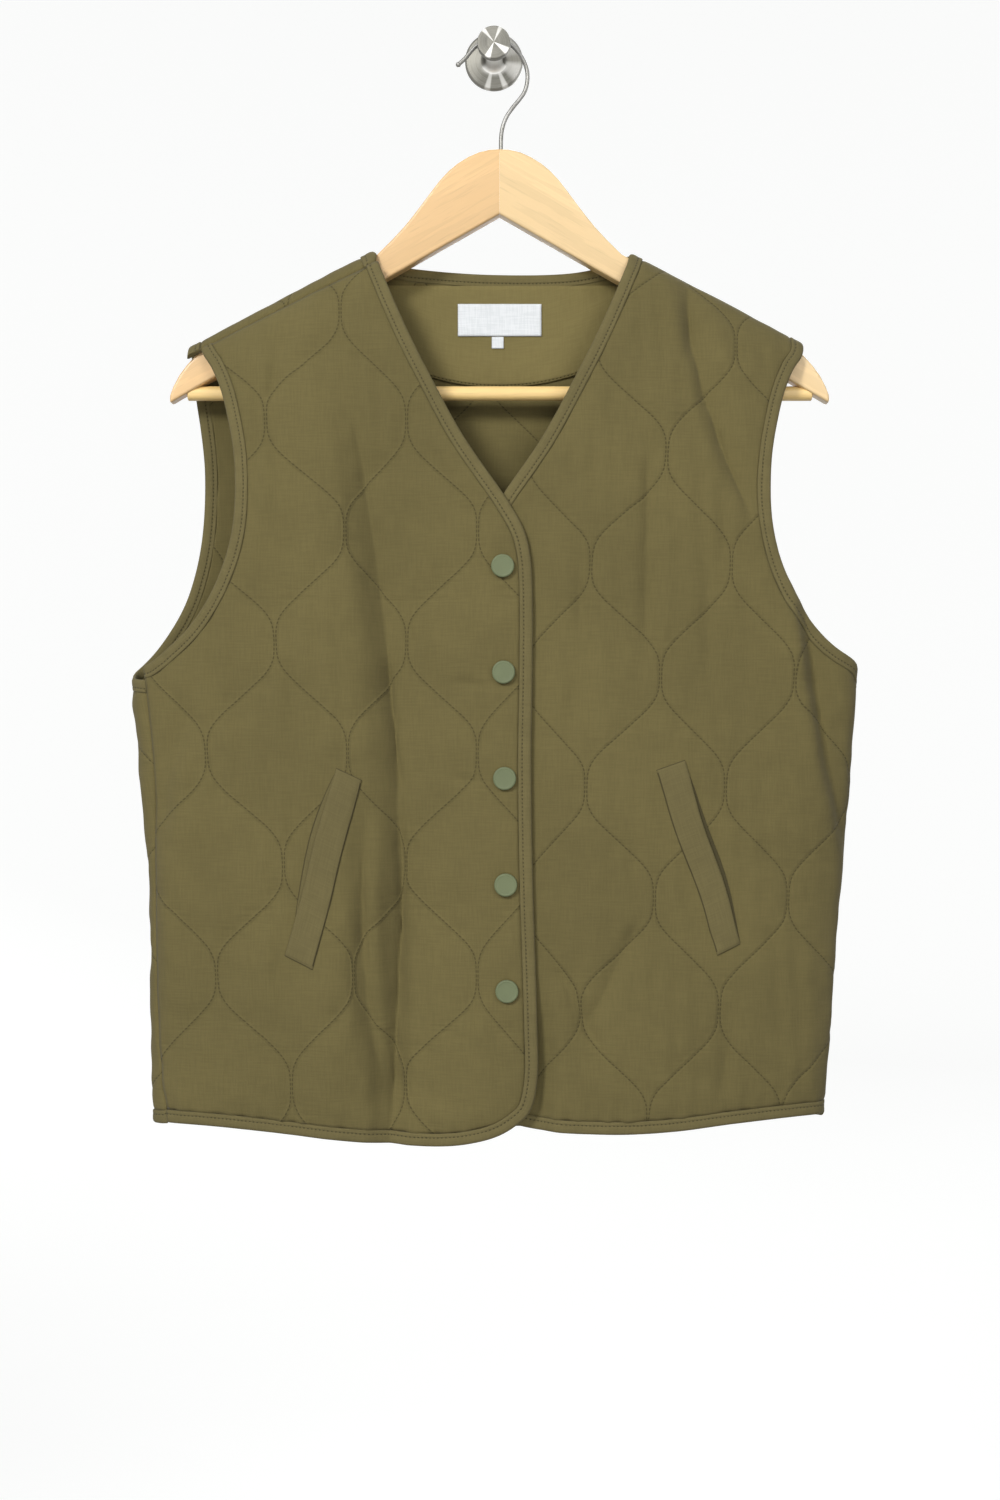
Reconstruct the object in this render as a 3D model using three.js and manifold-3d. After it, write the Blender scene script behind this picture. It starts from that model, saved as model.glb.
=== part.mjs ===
// A sleeveless quilted vest, snapped shut, on a wooden hanger that hangs from a round wall hook.
// Millimetres. +X is the viewer's right, -Y faces the viewer and +Z is up. The origin is the middle
// of the wall hook's back face, which lies on the wall at y = 0. Right and left are the wearer's, so
// the right front, which laps over the left one, is on the viewer's left.

import * as THREE from 'three';
import { mergeVertices } from 'three/addons/utils/BufferGeometryUtils.js';
import Module from 'manifold-3d';

const wasm = await Module();
wasm.setup();

// Driving dimensions
const HANG = -24; // y of the hanger's middle plane
const WALL = 2.4; // padded cloth where it is stitched down
const PUFF = 1.5; // rise of the padding between the quilting lines
const SEAM = 0.45; // gap between neighbouring pieces
const SHOULDER_SEAM = 0.7; // the same at the shoulder seams, which roll over the ridge
const BINDING_SEAM = 0.6; // the same along the bindings, which also turn sideways
const BINDING = 8; // width of the bias binding on every raw edge
const BINDING_PROUD = 0.5; // how far the binding stands above the cloth on each face
const FRONT_CENTRE = 6.1; // x of the snaps: the vest sits a little turned on its hanger
const BACK_CENTRE = -6.1; // x of the back's middle below the shoulders
const SHOULDER_CENTRE = 3.8; // x of the middle of the neck and of the hanger

// Shoulder ridge, the top line of the cloth's inner face, as a hyperbola about the neck
const RIDGE_AT_NECK = -137;
const RIDGE_NECK_HALF = 82;
const RIDGE_SLOPE = 0.546;
const RIDGE_ROUND = 40;

// Forward shift of the shoulder seams from the ridge, and their fall towards the armhole
const SEAM_FORWARD = { right: 12, left: -3 };
const SEAM_TAPER = 5;

// Half widths and depths of the hanging body at each height
const BODY = [
  { z: -740, right: 225.6, left: 217, front: 31, back: 15 },
  { z: -716, right: 226.2, left: 219, front: 31.5, back: 15.5 },
  { z: -640, right: 227.5, left: 225, front: 33, back: 16.5 },
  { z: -572, right: 228.6, left: 229.5, front: 34, back: 17 },
  { z: -505, right: 233, left: 236, front: 34, back: 17 },
  { z: -424, right: 240.6, left: 241.3, front: 33, back: 17 },
  { z: -330, right: 246, left: 246, front: 32, back: 17 },
  { z: -130, right: 250, left: 250, front: 31, back: 17 },
];

// Roundness of a level section and of the roll over the shoulder, for each face
const SECTION_POWER = { front: 3, back: 3.6 };
const SHOULDER_POWER = { front: 2.3, back: 3 };
const SHOULDER_DROP = { front: 150, back: 80 };

// Finished front and neck edge, seen from the front: across is measured from the front centre
const FRONT_EDGE = [
  { z: -688, across: -22.3 },
  { z: -655, across: -22.3 },
  { z: -609, across: -21 },
  { z: -556, across: -19.3 },
  { z: -478, across: -18.3 },
  { z: -425, across: -19 },
  { z: -364, across: -19 },
  { z: -343, across: -17.6 },
  { z: -327, across: -13.7 },
  { z: -307, across: -2.6 },
  { z: -265, across: 26 },
  { z: -223, across: 48.8 },
  { z: -195, across: 62.8 },
  { z: -162, across: 77 },
  { z: -143, across: 84 },
];
const NECK_POINT = 86.5; // half width of the neck at the shoulder ridge

// Finished hem of the fronts, measured from the front centre towards the side
const FRONT_HEM = [
  { across: -17.5, right: -699, left: -694 },
  { across: -8, right: -716, left: -710 },
  { across: 4, right: -724, left: -717 },
  { across: 22, right: -730, left: -721.5 },
  { across: 45, right: -732.5, left: -723.5 },
  { across: 80, right: -731, left: -724.3 },
  { across: 114, right: -727.5, left: -722.4 },
  { across: 154, right: -723, left: -717.6 },
  { across: 197, right: -719.5, left: -714 },
  { across: 240, right: -718.5, left: -714 },
];

// Finished armhole of the fronts and of the back, measured from each centre
const FRONT_ARMHOLE = [
  { z: -421.5, across: 250 },
  { z: -414, across: 235 },
  { z: -403, across: 221 },
  { z: -391, across: 208.5 },
  { z: -376, across: 197.5 },
  { z: -360, across: 189 },
  { z: -341, across: 182 },
  { z: -322, across: 178 },
  { z: -300, across: 176.6 },
  { z: -276, across: 177.6 },
  { z: -253, across: 181.5 },
  { z: -232, across: 187 },
  { z: -217, across: 193.5 },
  { z: -207, across: 200 },
];
const BACK_ARMHOLE = [
  { z: -411, right: 228.4, left: 226 },
  { z: -394, right: 215.6, left: 212 },
  { z: -373, right: 204, left: 199.5 },
  { z: -351, right: 196.8, left: 192 },
  { z: -329, right: 192.6, left: 187.6 },
  { z: -304, right: 190.7, left: 185.5 },
  { z: -278, right: 193.1, left: 186 },
  { z: -253, right: 199.3, left: 188.5 },
  { z: -234, right: 204.5, left: 191 },
  { z: -215, right: 207.5, left: 195.5 },
];
const SHOULDER_POINT = { right: 208.5, left: 201.5 }; // half width to the finished armhole at the ridge
const UNDERARM = -421; // height of the back's armhole where it wraps round the side

// Side seams, measured along the cloth from the front centre
const SIDE_SEAM = [
  { z: -740, right: 221.5, left: 220.5 },
  { z: -716, right: 224, left: 223 },
  { z: -652, right: 231, left: 229 },
  { z: -575, right: 232.8, left: 233.5 },
  { z: -494, right: 232.6, left: 240 },
  { z: -464, right: 234.5, left: 242.5 },
  { z: -424, right: 239, left: 245 },
  { z: -390, right: 242, left: 247 },
];

const BACK_HEM = { middle: -727, sides: -720 };

// Finished back neck edge, measured from the shoulder centre
const BACK_NECK = [
  { across: -66, z: -142 },
  { across: -41, z: -145 },
  { across: 0, z: -147.5 },
  { across: 45, z: -146.5 },
  { across: 67, z: -142.4 },
];

// Quilting: wavy lines that nearly touch their neighbours at every half wave
const QUILT_SPACING = 44;
const QUILT_WAVE = 146.5;
const QUILT_NEAR = 3.4;
const QUILT_SHARP = 0.06; // third harmonic, which straightens the slopes
const QUILT_AT = {
  right: { x: -57.3, z: -399.8 },
  left: { x: 109, z: -422.3 },
  back: { x: 38, z: -430 },
};
const PUFF_REACH = 8; // distance from a line at which the padding is nearly full

// Soft folds: a line from its top to its bottom, bowed sideways, with a rounded trough or ridge
const FOLDS = [
  { face: 'front', x1: -83, z1: -285, x2: -80, z2: -745, bow: 5, wide: 15, rise: -3.6 },
  { face: 'front', x1: -104, z1: -230, x2: -103, z2: -745, bow: 5, wide: 17, rise: 3.2 },
  { face: 'front', x1: -58, z1: -420, x2: -62, z2: -740, bow: 0, wide: 14, rise: 1.8 },
  { face: 'front', x1: 128, z1: -190, x2: 168, z2: -345, bow: -4, wide: 14, rise: -2.4 },
  { face: 'front', x1: 104, z1: -200, x2: 148, z2: -350, bow: -4, wide: 14, rise: 2.2 },
  { face: 'front', x1: 92, z1: -280, x2: 100, z2: -560, bow: 3, wide: 15, rise: -1.8 },
  { face: 'front', x1: 197, z1: -425, x2: 222, z2: -570, bow: -4, wide: 13, rise: -3.4 },
  { face: 'front', x1: 178, z1: -420, x2: 202, z2: -600, bow: -4, wide: 14, rise: 2.6 },
  { face: 'front', x1: 60, z1: -620, x2: 66, z2: -745, bow: 0, wide: 14, rise: -1.6 },
  { face: 'back', x1: -96, z1: -230, x2: -112, z2: -745, bow: 6, wide: 17, rise: -3 },
  { face: 'back', x1: -20, z1: -300, x2: 8, z2: -745, bow: -5, wide: 18, rise: -2.4 },
  { face: 'back', x1: 88, z1: -240, x2: 104, z2: -745, bow: -5, wide: 16, rise: -3.2 },
];

// Front lap: the right front is lifted over the left one, which is pressed in under it
const LAP = { from: -50, full: -17, top: -228, settled: -292, over: 3, under: 1.9 };

// Pocket welts: ends of the seamed long side, then of the open long side, from the front centre
const WELTS = {
  right: { seam: [[93.1, -490.8], [124.7, -615.6]], open: [[109.2, -483], [143.4, -606.5]] },
  left: { seam: [[100.6, -484.3], [140.9, -606.5]], open: [[119.4, -477.7], [156, -598.9]] },
};
const WELT = { lift: 1, thick: 1.5, gape: 1.3, steps: 10 };

// Snap caps down the front centre
const SNAPS = { count: 5, top: -350.4, pitch: 69.7, lean: 0.75, radius: 7.6, height: 2.5, segments: 16, lift: 0.7 };
const FLAT_ROUND_SNAP = 15;
const FLAT_ROUND_WELT = 14;

// Back neck facing and its blank label
const FACING = { half: 128, top: -163, bottom: -224, rise: 0.0031, below: 15, lift: 1.1, thick: 1 };
const LABEL = { left: -24.6, right: 32.3, top: -167.5, bottom: -189.4, lift: 0.4, thick: 0.9 };
const LABEL_TAB = { left: -1.5, right: 6.6, top: -189.9, bottom: -197.8 };

// Hanger, its bar and its wire hook
const HANGER = {
  thick: 13, round: 3.4, gap: 2.3, peak: -67.6, notch: -111.5, joint: 0.3,
  tip: [221.5, -238.2],
};
const BAR = { radius: 4.9, z: -231, from: -206, to: 214, segments: 14, play: 0.3 };
const WIRE = { radius: 1.4, sides: 8, steps: 40 };
const PEG = { neck: 6.2, segments: 22 };

// Mesh density of the panels, in rows and columns
const GRID = {
  low: 20, high: 17, rollRows: [3.5, 7.5, 12.5, 19], neckRolls: [4, 8, 12, 16, 21, 28],
  overShoulder: 7, innerEvery: 4,
  frontColumns: 19, backColumns: 44, neckColumns: 20, closerAtSides: 0.045, closerAtUnderarm: 1.4,
};

const other = { front: 'back', back: 'front' };
const outward = { front: -1, back: 1 };
const clamp01 = (v) => Math.min(1, Math.max(0, v));
const smooth = (v) => clamp01(v) ** 2 * (3 - 2 * clamp01(v));
const mix = (a, b, t) => a + (b - a) * t;
const mixPoint = (p, q, t) => [mix(p[0], q[0], t), mix(p[1], q[1], t)];

// A smooth curve through one column of a table whose key rises from row to row.
function column(rows, key, name) {
  const last = rows.length - 1;
  const slope = rows.map((_, i) => {
    const a = rows[Math.max(0, i - 1)];
    const b = rows[Math.min(last, i + 1)];
    return (b[name] - a[name]) / (b[key] - a[key]);
  });
  return (at) => {
    if (at <= rows[0][key]) return rows[0][name];
    if (at >= rows[last][key]) return rows[last][name];
    let i = 0;
    while (at > rows[i + 1][key]) i += 1;
    const span = rows[i + 1][key] - rows[i][key];
    const t = (at - rows[i][key]) / span;
    const rise = t * t * (3 - 2 * t);
    return (
      mix(rows[i][name], rows[i + 1][name], rise) +
      span * (slope[i] * t * (1 - t) ** 2 - slope[i + 1] * t * t * (1 - t))
    );
  };
}

// A quarter superellipse by its own length: out runs from 0 to 1 while deep falls from 1 to 0.
function quarter(power, aspect) {
  const steps = 800;
  const rows = [{ out: 0, deep: 1, length: 0 }];
  for (let i = 1; i <= steps; i += 1) {
    const angle = ((Math.PI / 2) * i) / steps;
    const out = Math.sin(angle) ** (2 / power);
    const deep = Math.max(0, Math.cos(angle)) ** (2 / power);
    const before = rows[i - 1];
    const step = Math.hypot(out - before.out, (deep - before.deep) * aspect);
    rows.push({ out, deep, length: before.length + step });
  }
  const find = (key, value) => {
    let low = 0;
    let high = steps;
    while (high - low > 1) {
      const middle = (low + high) >> 1;
      if (rows[middle][key] <= value) low = middle;
      else high = middle;
    }
    const t = clamp01((value - rows[low][key]) / (rows[high][key] - rows[low][key]));
    return {
      out: mix(rows[low].out, rows[high].out, t),
      deep: mix(rows[low].deep, rows[high].deep, t),
      length: mix(rows[low].length, rows[high].length, t),
    };
  };
  return { length: rows[steps].length, power, at: (l) => find('length', l), atOut: (o) => find('out', o) };
}

const half = { right: column(BODY, 'z', 'right'), left: column(BODY, 'z', 'left') };
const depth = { front: column(BODY, 'z', 'front'), back: column(BODY, 'z', 'back') };
const RING = {
  front: quarter(SECTION_POWER.front, 33 / 240),
  back: quarter(SECTION_POWER.back, 17 / 240),
};
const ROLL = {
  front: quarter(SHOULDER_POWER.front, 32 / SHOULDER_DROP.front),
  back: quarter(SHOULDER_POWER.back, 17 / SHOULDER_DROP.back),
};
const EXCESS = {
  front: (ROLL.front.length - 1) * SHOULDER_DROP.front,
  back: (ROLL.back.length - 1) * SHOULDER_DROP.back,
};
const halfAt = (c, z) => (c < 0 ? half.right(z) : half.left(z));

function ridge(x) {
  const far = Math.hypot(x - SHOULDER_CENTRE, RIDGE_ROUND);
  return RIDGE_AT_NECK - RIDGE_SLOPE * (far - Math.hypot(RIDGE_NECK_HALF, RIDGE_ROUND));
}

// The level section through one face: c is the length along the cloth from x = 0, and past the
// side it runs on round the other face.
function section(face, c, z) {
  const wide = halfAt(c, z);
  const past = Math.abs(c) - RING[face].length * wide;
  const found =
    past <= 0
      ? RING[face].at(Math.abs(c) / wide)
      : RING[other[face]].at(RING[other[face]].length - past / wide);
  return { x: Math.sign(c) * wide * found.out, out: found.out, turned: past > 0 };
}

function foldRise(face, x, z) {
  let sum = 0;
  for (const f of FOLDS) {
    if (f.face !== face || z > f.z1 || z < f.z2) continue;
    const t = (f.z1 - z) / (f.z1 - f.z2);
    const line = mix(f.x1, f.x2, t) + f.bow * Math.sin(Math.PI * t);
    const ends = smooth(t / 0.25) * (f.z2 < -700 ? 1 : smooth((1 - t) / 0.25));
    sum += f.rise * ends * Math.exp(-(((x - line) / f.wide) ** 2));
  }
  return sum;
}

function lapShift(layer, x, z) {
  if (layer === 'back') return 0;
  const along = smooth((LAP.top - z) / (LAP.top - LAP.settled));
  if (layer === 'right') return LAP.over * along * smooth((x - LAP.from) / (LAP.full - LAP.from));
  const mirror = 2 * FRONT_CENTRE - x;
  return -LAP.under * along * smooth((mirror - LAP.from) / (LAP.full - LAP.from));
}

// The cloth's inner face. A panel's flat place is c, along the cloth from x = 0, and w, which is
// the height far below the shoulder and runs on along the cloth over the shoulder's ridge.
function innerFace(panel, c, w) {
  const { face, layer } = panel;
  const crest = ridge(section(face, c, w).x);
  const down = crest + EXCESS[face] - w;
  const over = down < 0;
  const rolled = over ? other[face] : face;
  const far = Math.abs(down);
  const reach = ROLL[rolled].length * SHOULDER_DROP[rolled];
  const roll =
    far >= reach
      ? { drop: SHOULDER_DROP[rolled] + far - reach, share: 1 }
      : rollAt(rolled, (reach - far) / SHOULDER_DROP[rolled]);
  const z = crest - roll.drop;
  const ring = section(face, c, z);
  const shown = ring.turned ? other[rolled] : rolled;
  const power = SECTION_POWER[shown];
  const side = Math.max(0, 1 - ring.out ** power) ** (1 / power);
  const share = side * roll.share;
  const rise = depth[shown](z) + foldRise(shown, ring.x, z);
  const y = HANG + outward[shown] * (rise * share + lapShift(layer, ring.x, z));
  return new THREE.Vector3(ring.x, y, z);
}

function rollAt(face, length) {
  const found = ROLL[face].at(length);
  return { drop: SHOULDER_DROP[face] * (1 - found.out), share: found.deep };
}

// A point of a panel, t out from its inner face along the cloth's own normal.
function place(panel, c, w, t) {
  const step = 0.6;
  const across = innerFace(panel, c + step, w).sub(innerFace(panel, c - step, w));
  const up = innerFace(panel, c, w + step).sub(innerFace(panel, c, w - step));
  const normal = across.cross(up).normalize();
  if (panel.face === 'back') normal.negate();
  return innerFace(panel, c, w).addScaledVector(normal, t);
}

// The flat place of a point seen at x and z on one face.
function flat(face, x, z) {
  const wide = halfAt(x, z);
  const c = Math.sign(x) * wide * RING[face].atOut(Math.min(1, Math.abs(x) / wide)).length;
  const drop = ridge(x) - z;
  const full = SHOULDER_DROP[face];
  if (drop >= full) return [c, z];
  const length = ROLL[face].atOut(clamp01(1 - drop / full)).length;
  return [c, ridge(x) + EXCESS[face] - (ROLL[face].length - length) * full];
}

// Polylines in the flat
function spline(points, spacing = 2.5) {
  const path = new THREE.CatmullRomCurve3(
    points.map(([c, w]) => new THREE.Vector3(c, w, 0)),
    false,
    'centripetal',
  );
  const count = Math.ceil(path.getLength() / spacing);
  return path.getSpacedPoints(count).map((p) => [p.x, p.y]);
}

function lengths(line) {
  const sums = [0];
  for (let i = 1; i < line.length; i += 1) {
    const [a, b] = [line[i - 1], line[i]];
    sums.push(sums[i - 1] + Math.hypot(b[0] - a[0], b[1] - a[1]));
  }
  return sums;
}

function along(line, sums, share) {
  const goal = clamp01(share) * sums[sums.length - 1];
  let i = 1;
  while (i < line.length - 1 && sums[i] < goal) i += 1;
  return mixPoint(line[i - 1], line[i], (goal - sums[i - 1]) / (sums[i] - sums[i - 1]));
}

function resample(line, shares) {
  const sums = lengths(line);
  return shares.map((s) => along(line, sums, s));
}

function normalsOf(line, towards) {
  return line.map((_, i) => {
    const a = line[Math.max(0, i - 1)];
    const b = line[Math.min(line.length - 1, i + 1)];
    const size = Math.hypot(b[0] - a[0], b[1] - a[1]);
    return [(-towards * (b[1] - a[1])) / size, (towards * (b[0] - a[0])) / size];
  });
}

const shifted = (line, normals, by) =>
  line.map((p, i) => [p[0] + normals[i][0] * by, p[1] + normals[i][1] * by]);

// The part of a line from its start to where test turns positive.
function upTo(line, test) {
  for (let i = 1; i < line.length; i += 1) {
    const [before, here] = [test(line[i - 1]), test(line[i])];
    if (here >= 0 && before < 0) {
      return [...line.slice(0, i), mixPoint(line[i - 1], line[i], before / (before - here))];
    }
  }
  return line;
}

const even = (count) => Array.from({ length: count + 1 }, (_, i) => i / count);

// Quilting lines in the flat
function quiltLine(layer, index, w) {
  const { x, z } = QUILT_AT[layer];
  const angle = (2 * Math.PI * (w - z)) / QUILT_WAVE;
  const wave = (Math.cos(angle) + QUILT_SHARP * Math.cos(3 * angle)) / (1 + QUILT_SHARP);
  const swing = (QUILT_SPACING - QUILT_NEAR) / 2;
  return x + (index - 0.5) * QUILT_SPACING + swing * wave * (index % 2 === 0 ? 1 : -1);
}

function quiltIndexes(layer, c) {
  const middle = Math.round((c - QUILT_AT[layer].x) / QUILT_SPACING + 0.5);
  return [middle - 1, middle, middle + 1];
}

function puff(panel, c, w) {
  const { layer } = panel;
  const near = Math.min(...quiltIndexes(layer, c).map((i) => Math.abs(c - quiltLine(layer, i, w))));
  return PUFF * (1 - Math.exp(-((near / PUFF_REACH) ** 2))) * flatness(panel, c, w);
}

// 0 where the padding is pressed flat: round the snaps, under the pocket welts and in the lap.
function flatness(panel, c, w) {
  const { layer } = panel;
  if (layer === 'back') return 1;
  const across = (c - FRONT_CENTRE) * (layer === 'right' ? -1 : 1);
  let share = layer === 'left' ? smooth((across - 20) / 16) : 1;
  const { seam, open } = WELTS[layer];
  const t = clamp01((seam[0][1] - w) / (seam[0][1] - seam[1][1]));
  const off = Math.max(mix(seam[0][0], seam[1][0], t) - across, across - mix(open[0][0], open[1][0], t));
  const beyond = Math.max(w - open[0][1], seam[1][1] - w, off, 0);
  share *= smooth((beyond - 2) / FLAT_ROUND_WELT);
  for (let i = 0; i < SNAPS.count; i += 1) {
    const far = Math.hypot(c - FRONT_CENTRE, w - (SNAPS.top - i * SNAPS.pitch));
    share *= smooth((far - SNAPS.radius) / FLAT_ROUND_SNAP);
  }
  return share;
}

// Closed meshes
function meshOf(points, triangles) {
  const geometry = new THREE.BufferGeometry();
  geometry.setAttribute(
    'position',
    new THREE.Float32BufferAttribute(points.flatMap((p) => [p.x, p.y, p.z]), 3),
  );
  let volume = 0;
  for (const [a, b, c] of triangles) volume += points[a].dot(points[b].clone().cross(points[c]));
  geometry.setIndex(triangles.flatMap(([a, b, c]) => (volume < 0 ? [a, c, b] : [a, b, c])));
  return geometry;
}

// Triangles between two lines of vertices whose keys both rise from 0 to 1.
function zip(first, second) {
  const made = [];
  let [i, j] = [0, 0];
  while (i < first.length - 1 || j < second.length - 1) {
    const nextFirst = i < first.length - 1 ? first[i + 1].key : Infinity;
    const nextSecond = j < second.length - 1 ? second[j + 1].key : Infinity;
    if (nextFirst <= nextSecond) {
      made.push([first[i].at, first[i + 1].at, second[j].at]);
      i += 1;
    } else {
      made.push([first[i].at, second[j + 1].at, second[j].at]);
      j += 1;
    }
  }
  return made;
}

// Moves the vertex nearest to each crossing of a row and a quilting line onto that line.
function snapRows(panel, grid) {
  const lines = grid.map((row) => row.map(() => null));
  grid.forEach((row, j) => {
    if (j === 0 || j === grid.length - 1) return;
    const old = row.map((p) => [...p]);
    for (let i = 0; i < row.length - 1; i += 1) {
      const [a, b] = [old[i], old[i + 1]];
      const seen = new Set([...quiltIndexes(panel.layer, a[0]), ...quiltIndexes(panel.layer, b[0])]);
      for (const index of seen) {
        const offA = a[0] - quiltLine(panel.layer, index, a[1]);
        const offB = b[0] - quiltLine(panel.layer, index, b[1]);
        if (offA * offB > 0 || offA === offB) continue;
        const t = offA / (offA - offB);
        const picks = t < 0.5 ? [i, i + 1] : [i + 1, i];
        const pick = picks.find((k) => k > 0 && k < row.length - 1 && lines[j][k] === null);
        if (pick === undefined || Math.abs(pick - (i + t)) > 0.75) continue;
        grid[j][pick] = mixPoint(a, b, t);
        lines[j][pick] = index;
      }
    }
  });
  return lines;
}

// A quilted panel from its flat grid: raised outside, plain inside with fewer rows.
function quiltedPanel(panel, flatGrid) {
  const grid = flatGrid.map((row) => row.map((p) => [...p]));
  const lines = snapRows(panel, grid);
  const rows = grid.length;
  const columns = grid[0].length;
  const points = [];
  const add = (p) => points.push(p) - 1;
  const outer = grid.map((row, j) =>
    row.map(([c, w], i) => {
      const edge = i === 0 || j === 0 || i === columns - 1 || j === rows - 1;
      const rise = edge || lines[j][i] !== null ? 0 : puff(panel, c, w);
      return add(place(panel, c, w, WALL + rise));
    }),
  );
  const inner = flatGrid.map((row, j) =>
    row.map(([c, w], i) => {
      const fromSide = Math.min(i, columns - 1 - i);
      const atArmhole = fromSide <= 2 && j >= GRID.low - 1;
      const overShoulder = j >= rows - GRID.overShoulder;
      const kept = fromSide === 0 || atArmhole || overShoulder || j % GRID.innerEvery === 0;
      return kept ? add(place(panel, c, w, 0)) : null;
    }),
  );
  const triangles = [];
  for (let j = 0; j < rows - 1; j += 1) {
    for (let i = 0; i < columns - 1; i += 1) {
      const [a, b, c, d] = [outer[j][i], outer[j][i + 1], outer[j + 1][i + 1], outer[j + 1][i]];
      const rising = lines[j][i] !== null && lines[j][i] === lines[j + 1][i + 1];
      const falling = lines[j][i + 1] !== null && lines[j][i + 1] === lines[j + 1][i];
      if (falling && !rising) triangles.push([a, b, d], [b, c, d]);
      else triangles.push([a, b, c], [a, c, d]);
    }
  }
  const lineUp = (i) =>
    inner.flatMap((row, j) => (row[i] === null ? [] : [{ key: j / (rows - 1), at: row[i] }]));
  for (let i = 0; i < columns - 1; i += 1) triangles.push(...zip(lineUp(i), lineUp(i + 1)));
  // The rims are split along the same diagonals as the bindings that face them.
  const rim = (a, b, c, d, crossed, turned) => {
    const strip = crossed ? [[a, b, d], [b, c, d]] : [[a, b, c], [a, c, d]];
    triangles.push(...(turned ? strip.map((t) => [...t].reverse()) : strip));
  };
  const isBack = panel.face === 'back';
  for (const j of [0, rows - 1]) {
    for (let i = 0; i < columns - 1; i += 1) {
      rim(outer[j][i], inner[j][i], inner[j][i + 1], outer[j][i + 1], isBack, j > 0);
    }
  }
  for (const i of [0, columns - 1]) {
    for (let j = 0; j < rows - 1; j += 1) {
      rim(outer[j][i], outer[j + 1][i], inner[j + 1][i], inner[j][i], !isBack, i > 0);
    }
  }
  return meshOf(points, triangles);
}

// A closed tube through sections, each a ring of as many points.
function loft(sections) {
  const ring = sections[0].length;
  const triangles = [];
  for (let s = 0; s < sections.length - 1; s += 1) {
    for (let k = 0; k < ring; k += 1) {
      const next = (k + 1) % ring;
      const [a, b] = [s * ring + k, s * ring + next];
      triangles.push([a, b, b + ring], [a, b + ring, a + ring]);
    }
  }
  const last = (sections.length - 1) * ring;
  for (let k = 1; k < ring - 1; k += 1) triangles.push([0, k + 1, k], [last, last + k, last + k + 1]);
  return meshOf(sections.flat(), triangles);
}

// The bias binding round an edge: [panel, cut edge point, outward direction in the flat] in order.
function bindingOn(edge) {
  const profile = [
    { in: BINDING_SEAM, t: WALL + BINDING_PROUD },
    { in: BINDING + SEAM - 1, t: WALL + BINDING_PROUD },
    { in: BINDING + SEAM, t: WALL / 2 },
    { in: BINDING + SEAM - 1, t: -BINDING_PROUD },
    { in: BINDING_SEAM, t: -BINDING_PROUD },
  ];
  return loft(
    edge.map(({ panel, at, out }) =>
      profile.map((q) => place(panel, at[0] + out[0] * q.in, at[1] + out[1] * q.in, q.t)),
    ),
  );
}

// A thin sheet over a grid of flat places, between two heights above the panel's inner face.
function thinSheet(panel, grid, heights) {
  const columns = grid[0].length;
  const points = [];
  for (const side of [0, 1]) {
    grid.forEach((row, j) =>
      row.forEach(([c, w], i) => points.push(place(panel, c, w, heights(j, i)[side]))),
    );
  }
  const layer = grid.length * columns;
  const triangles = [];
  for (let j = 0; j < grid.length - 1; j += 1) {
    for (let i = 0; i < columns - 1; i += 1) {
      const a = j * columns + i;
      const [b, c, d] = [a + 1, a + columns + 1, a + columns];
      triangles.push([a, c, b], [a, d, c]);
      triangles.push([a + layer, b + layer, c + layer], [a + layer, c + layer, d + layer]);
    }
  }
  const rim = [
    ...even(columns - 1).map((_, i) => i),
    ...grid.slice(1).map((_, j) => (j + 2) * columns - 1),
    ...grid[0].slice(1).map((_, i) => layer - 2 - i),
    ...grid.slice(1, -1).map((_, j) => (grid.length - 2 - j) * columns),
  ];
  rim.forEach((a, i) => {
    const b = rim[(i + 1) % rim.length];
    triangles.push([a, b, b + layer], [a, b + layer, a + layer]);
  });
  return meshOf(points, triangles);
}

// Outlines of the panels in the flat
const sideSeamAt = { right: column(SIDE_SEAM, 'z', 'right'), left: column(SIDE_SEAM, 'z', 'left') };
const sideOf = { right: -1, left: 1 };
const frontC = (layer, across) => FRONT_CENTRE + sideOf[layer] * across;
const seamForward = (layer, x) =>
  SEAM_FORWARD[layer] - (SEAM_TAPER * (Math.abs(x - SHOULDER_CENTRE) - RIDGE_NECK_HALF)) / 124;

function backCentre(z) {
  return mix(SHOULDER_CENTRE, BACK_CENTRE, smooth((-210 - z) / 100));
}

function shoulderW(face, layer, c) {
  const x = section(face, c, ridge(c)).x;
  return ridge(x) + EXCESS[face] - outward[face] * -seamForward(layer, x) - SHOULDER_SEAM / 2;
}

function cornerAtRidge(face, layer, x) {
  const [c] = flat(face, x, ridge(x) - 1);
  return [c, ridge(x) + EXCESS[face] + 20];
}

const frontSideC = (layer, w) => frontC(layer, sideSeamAt[layer](w) - SEAM / 2);

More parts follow.
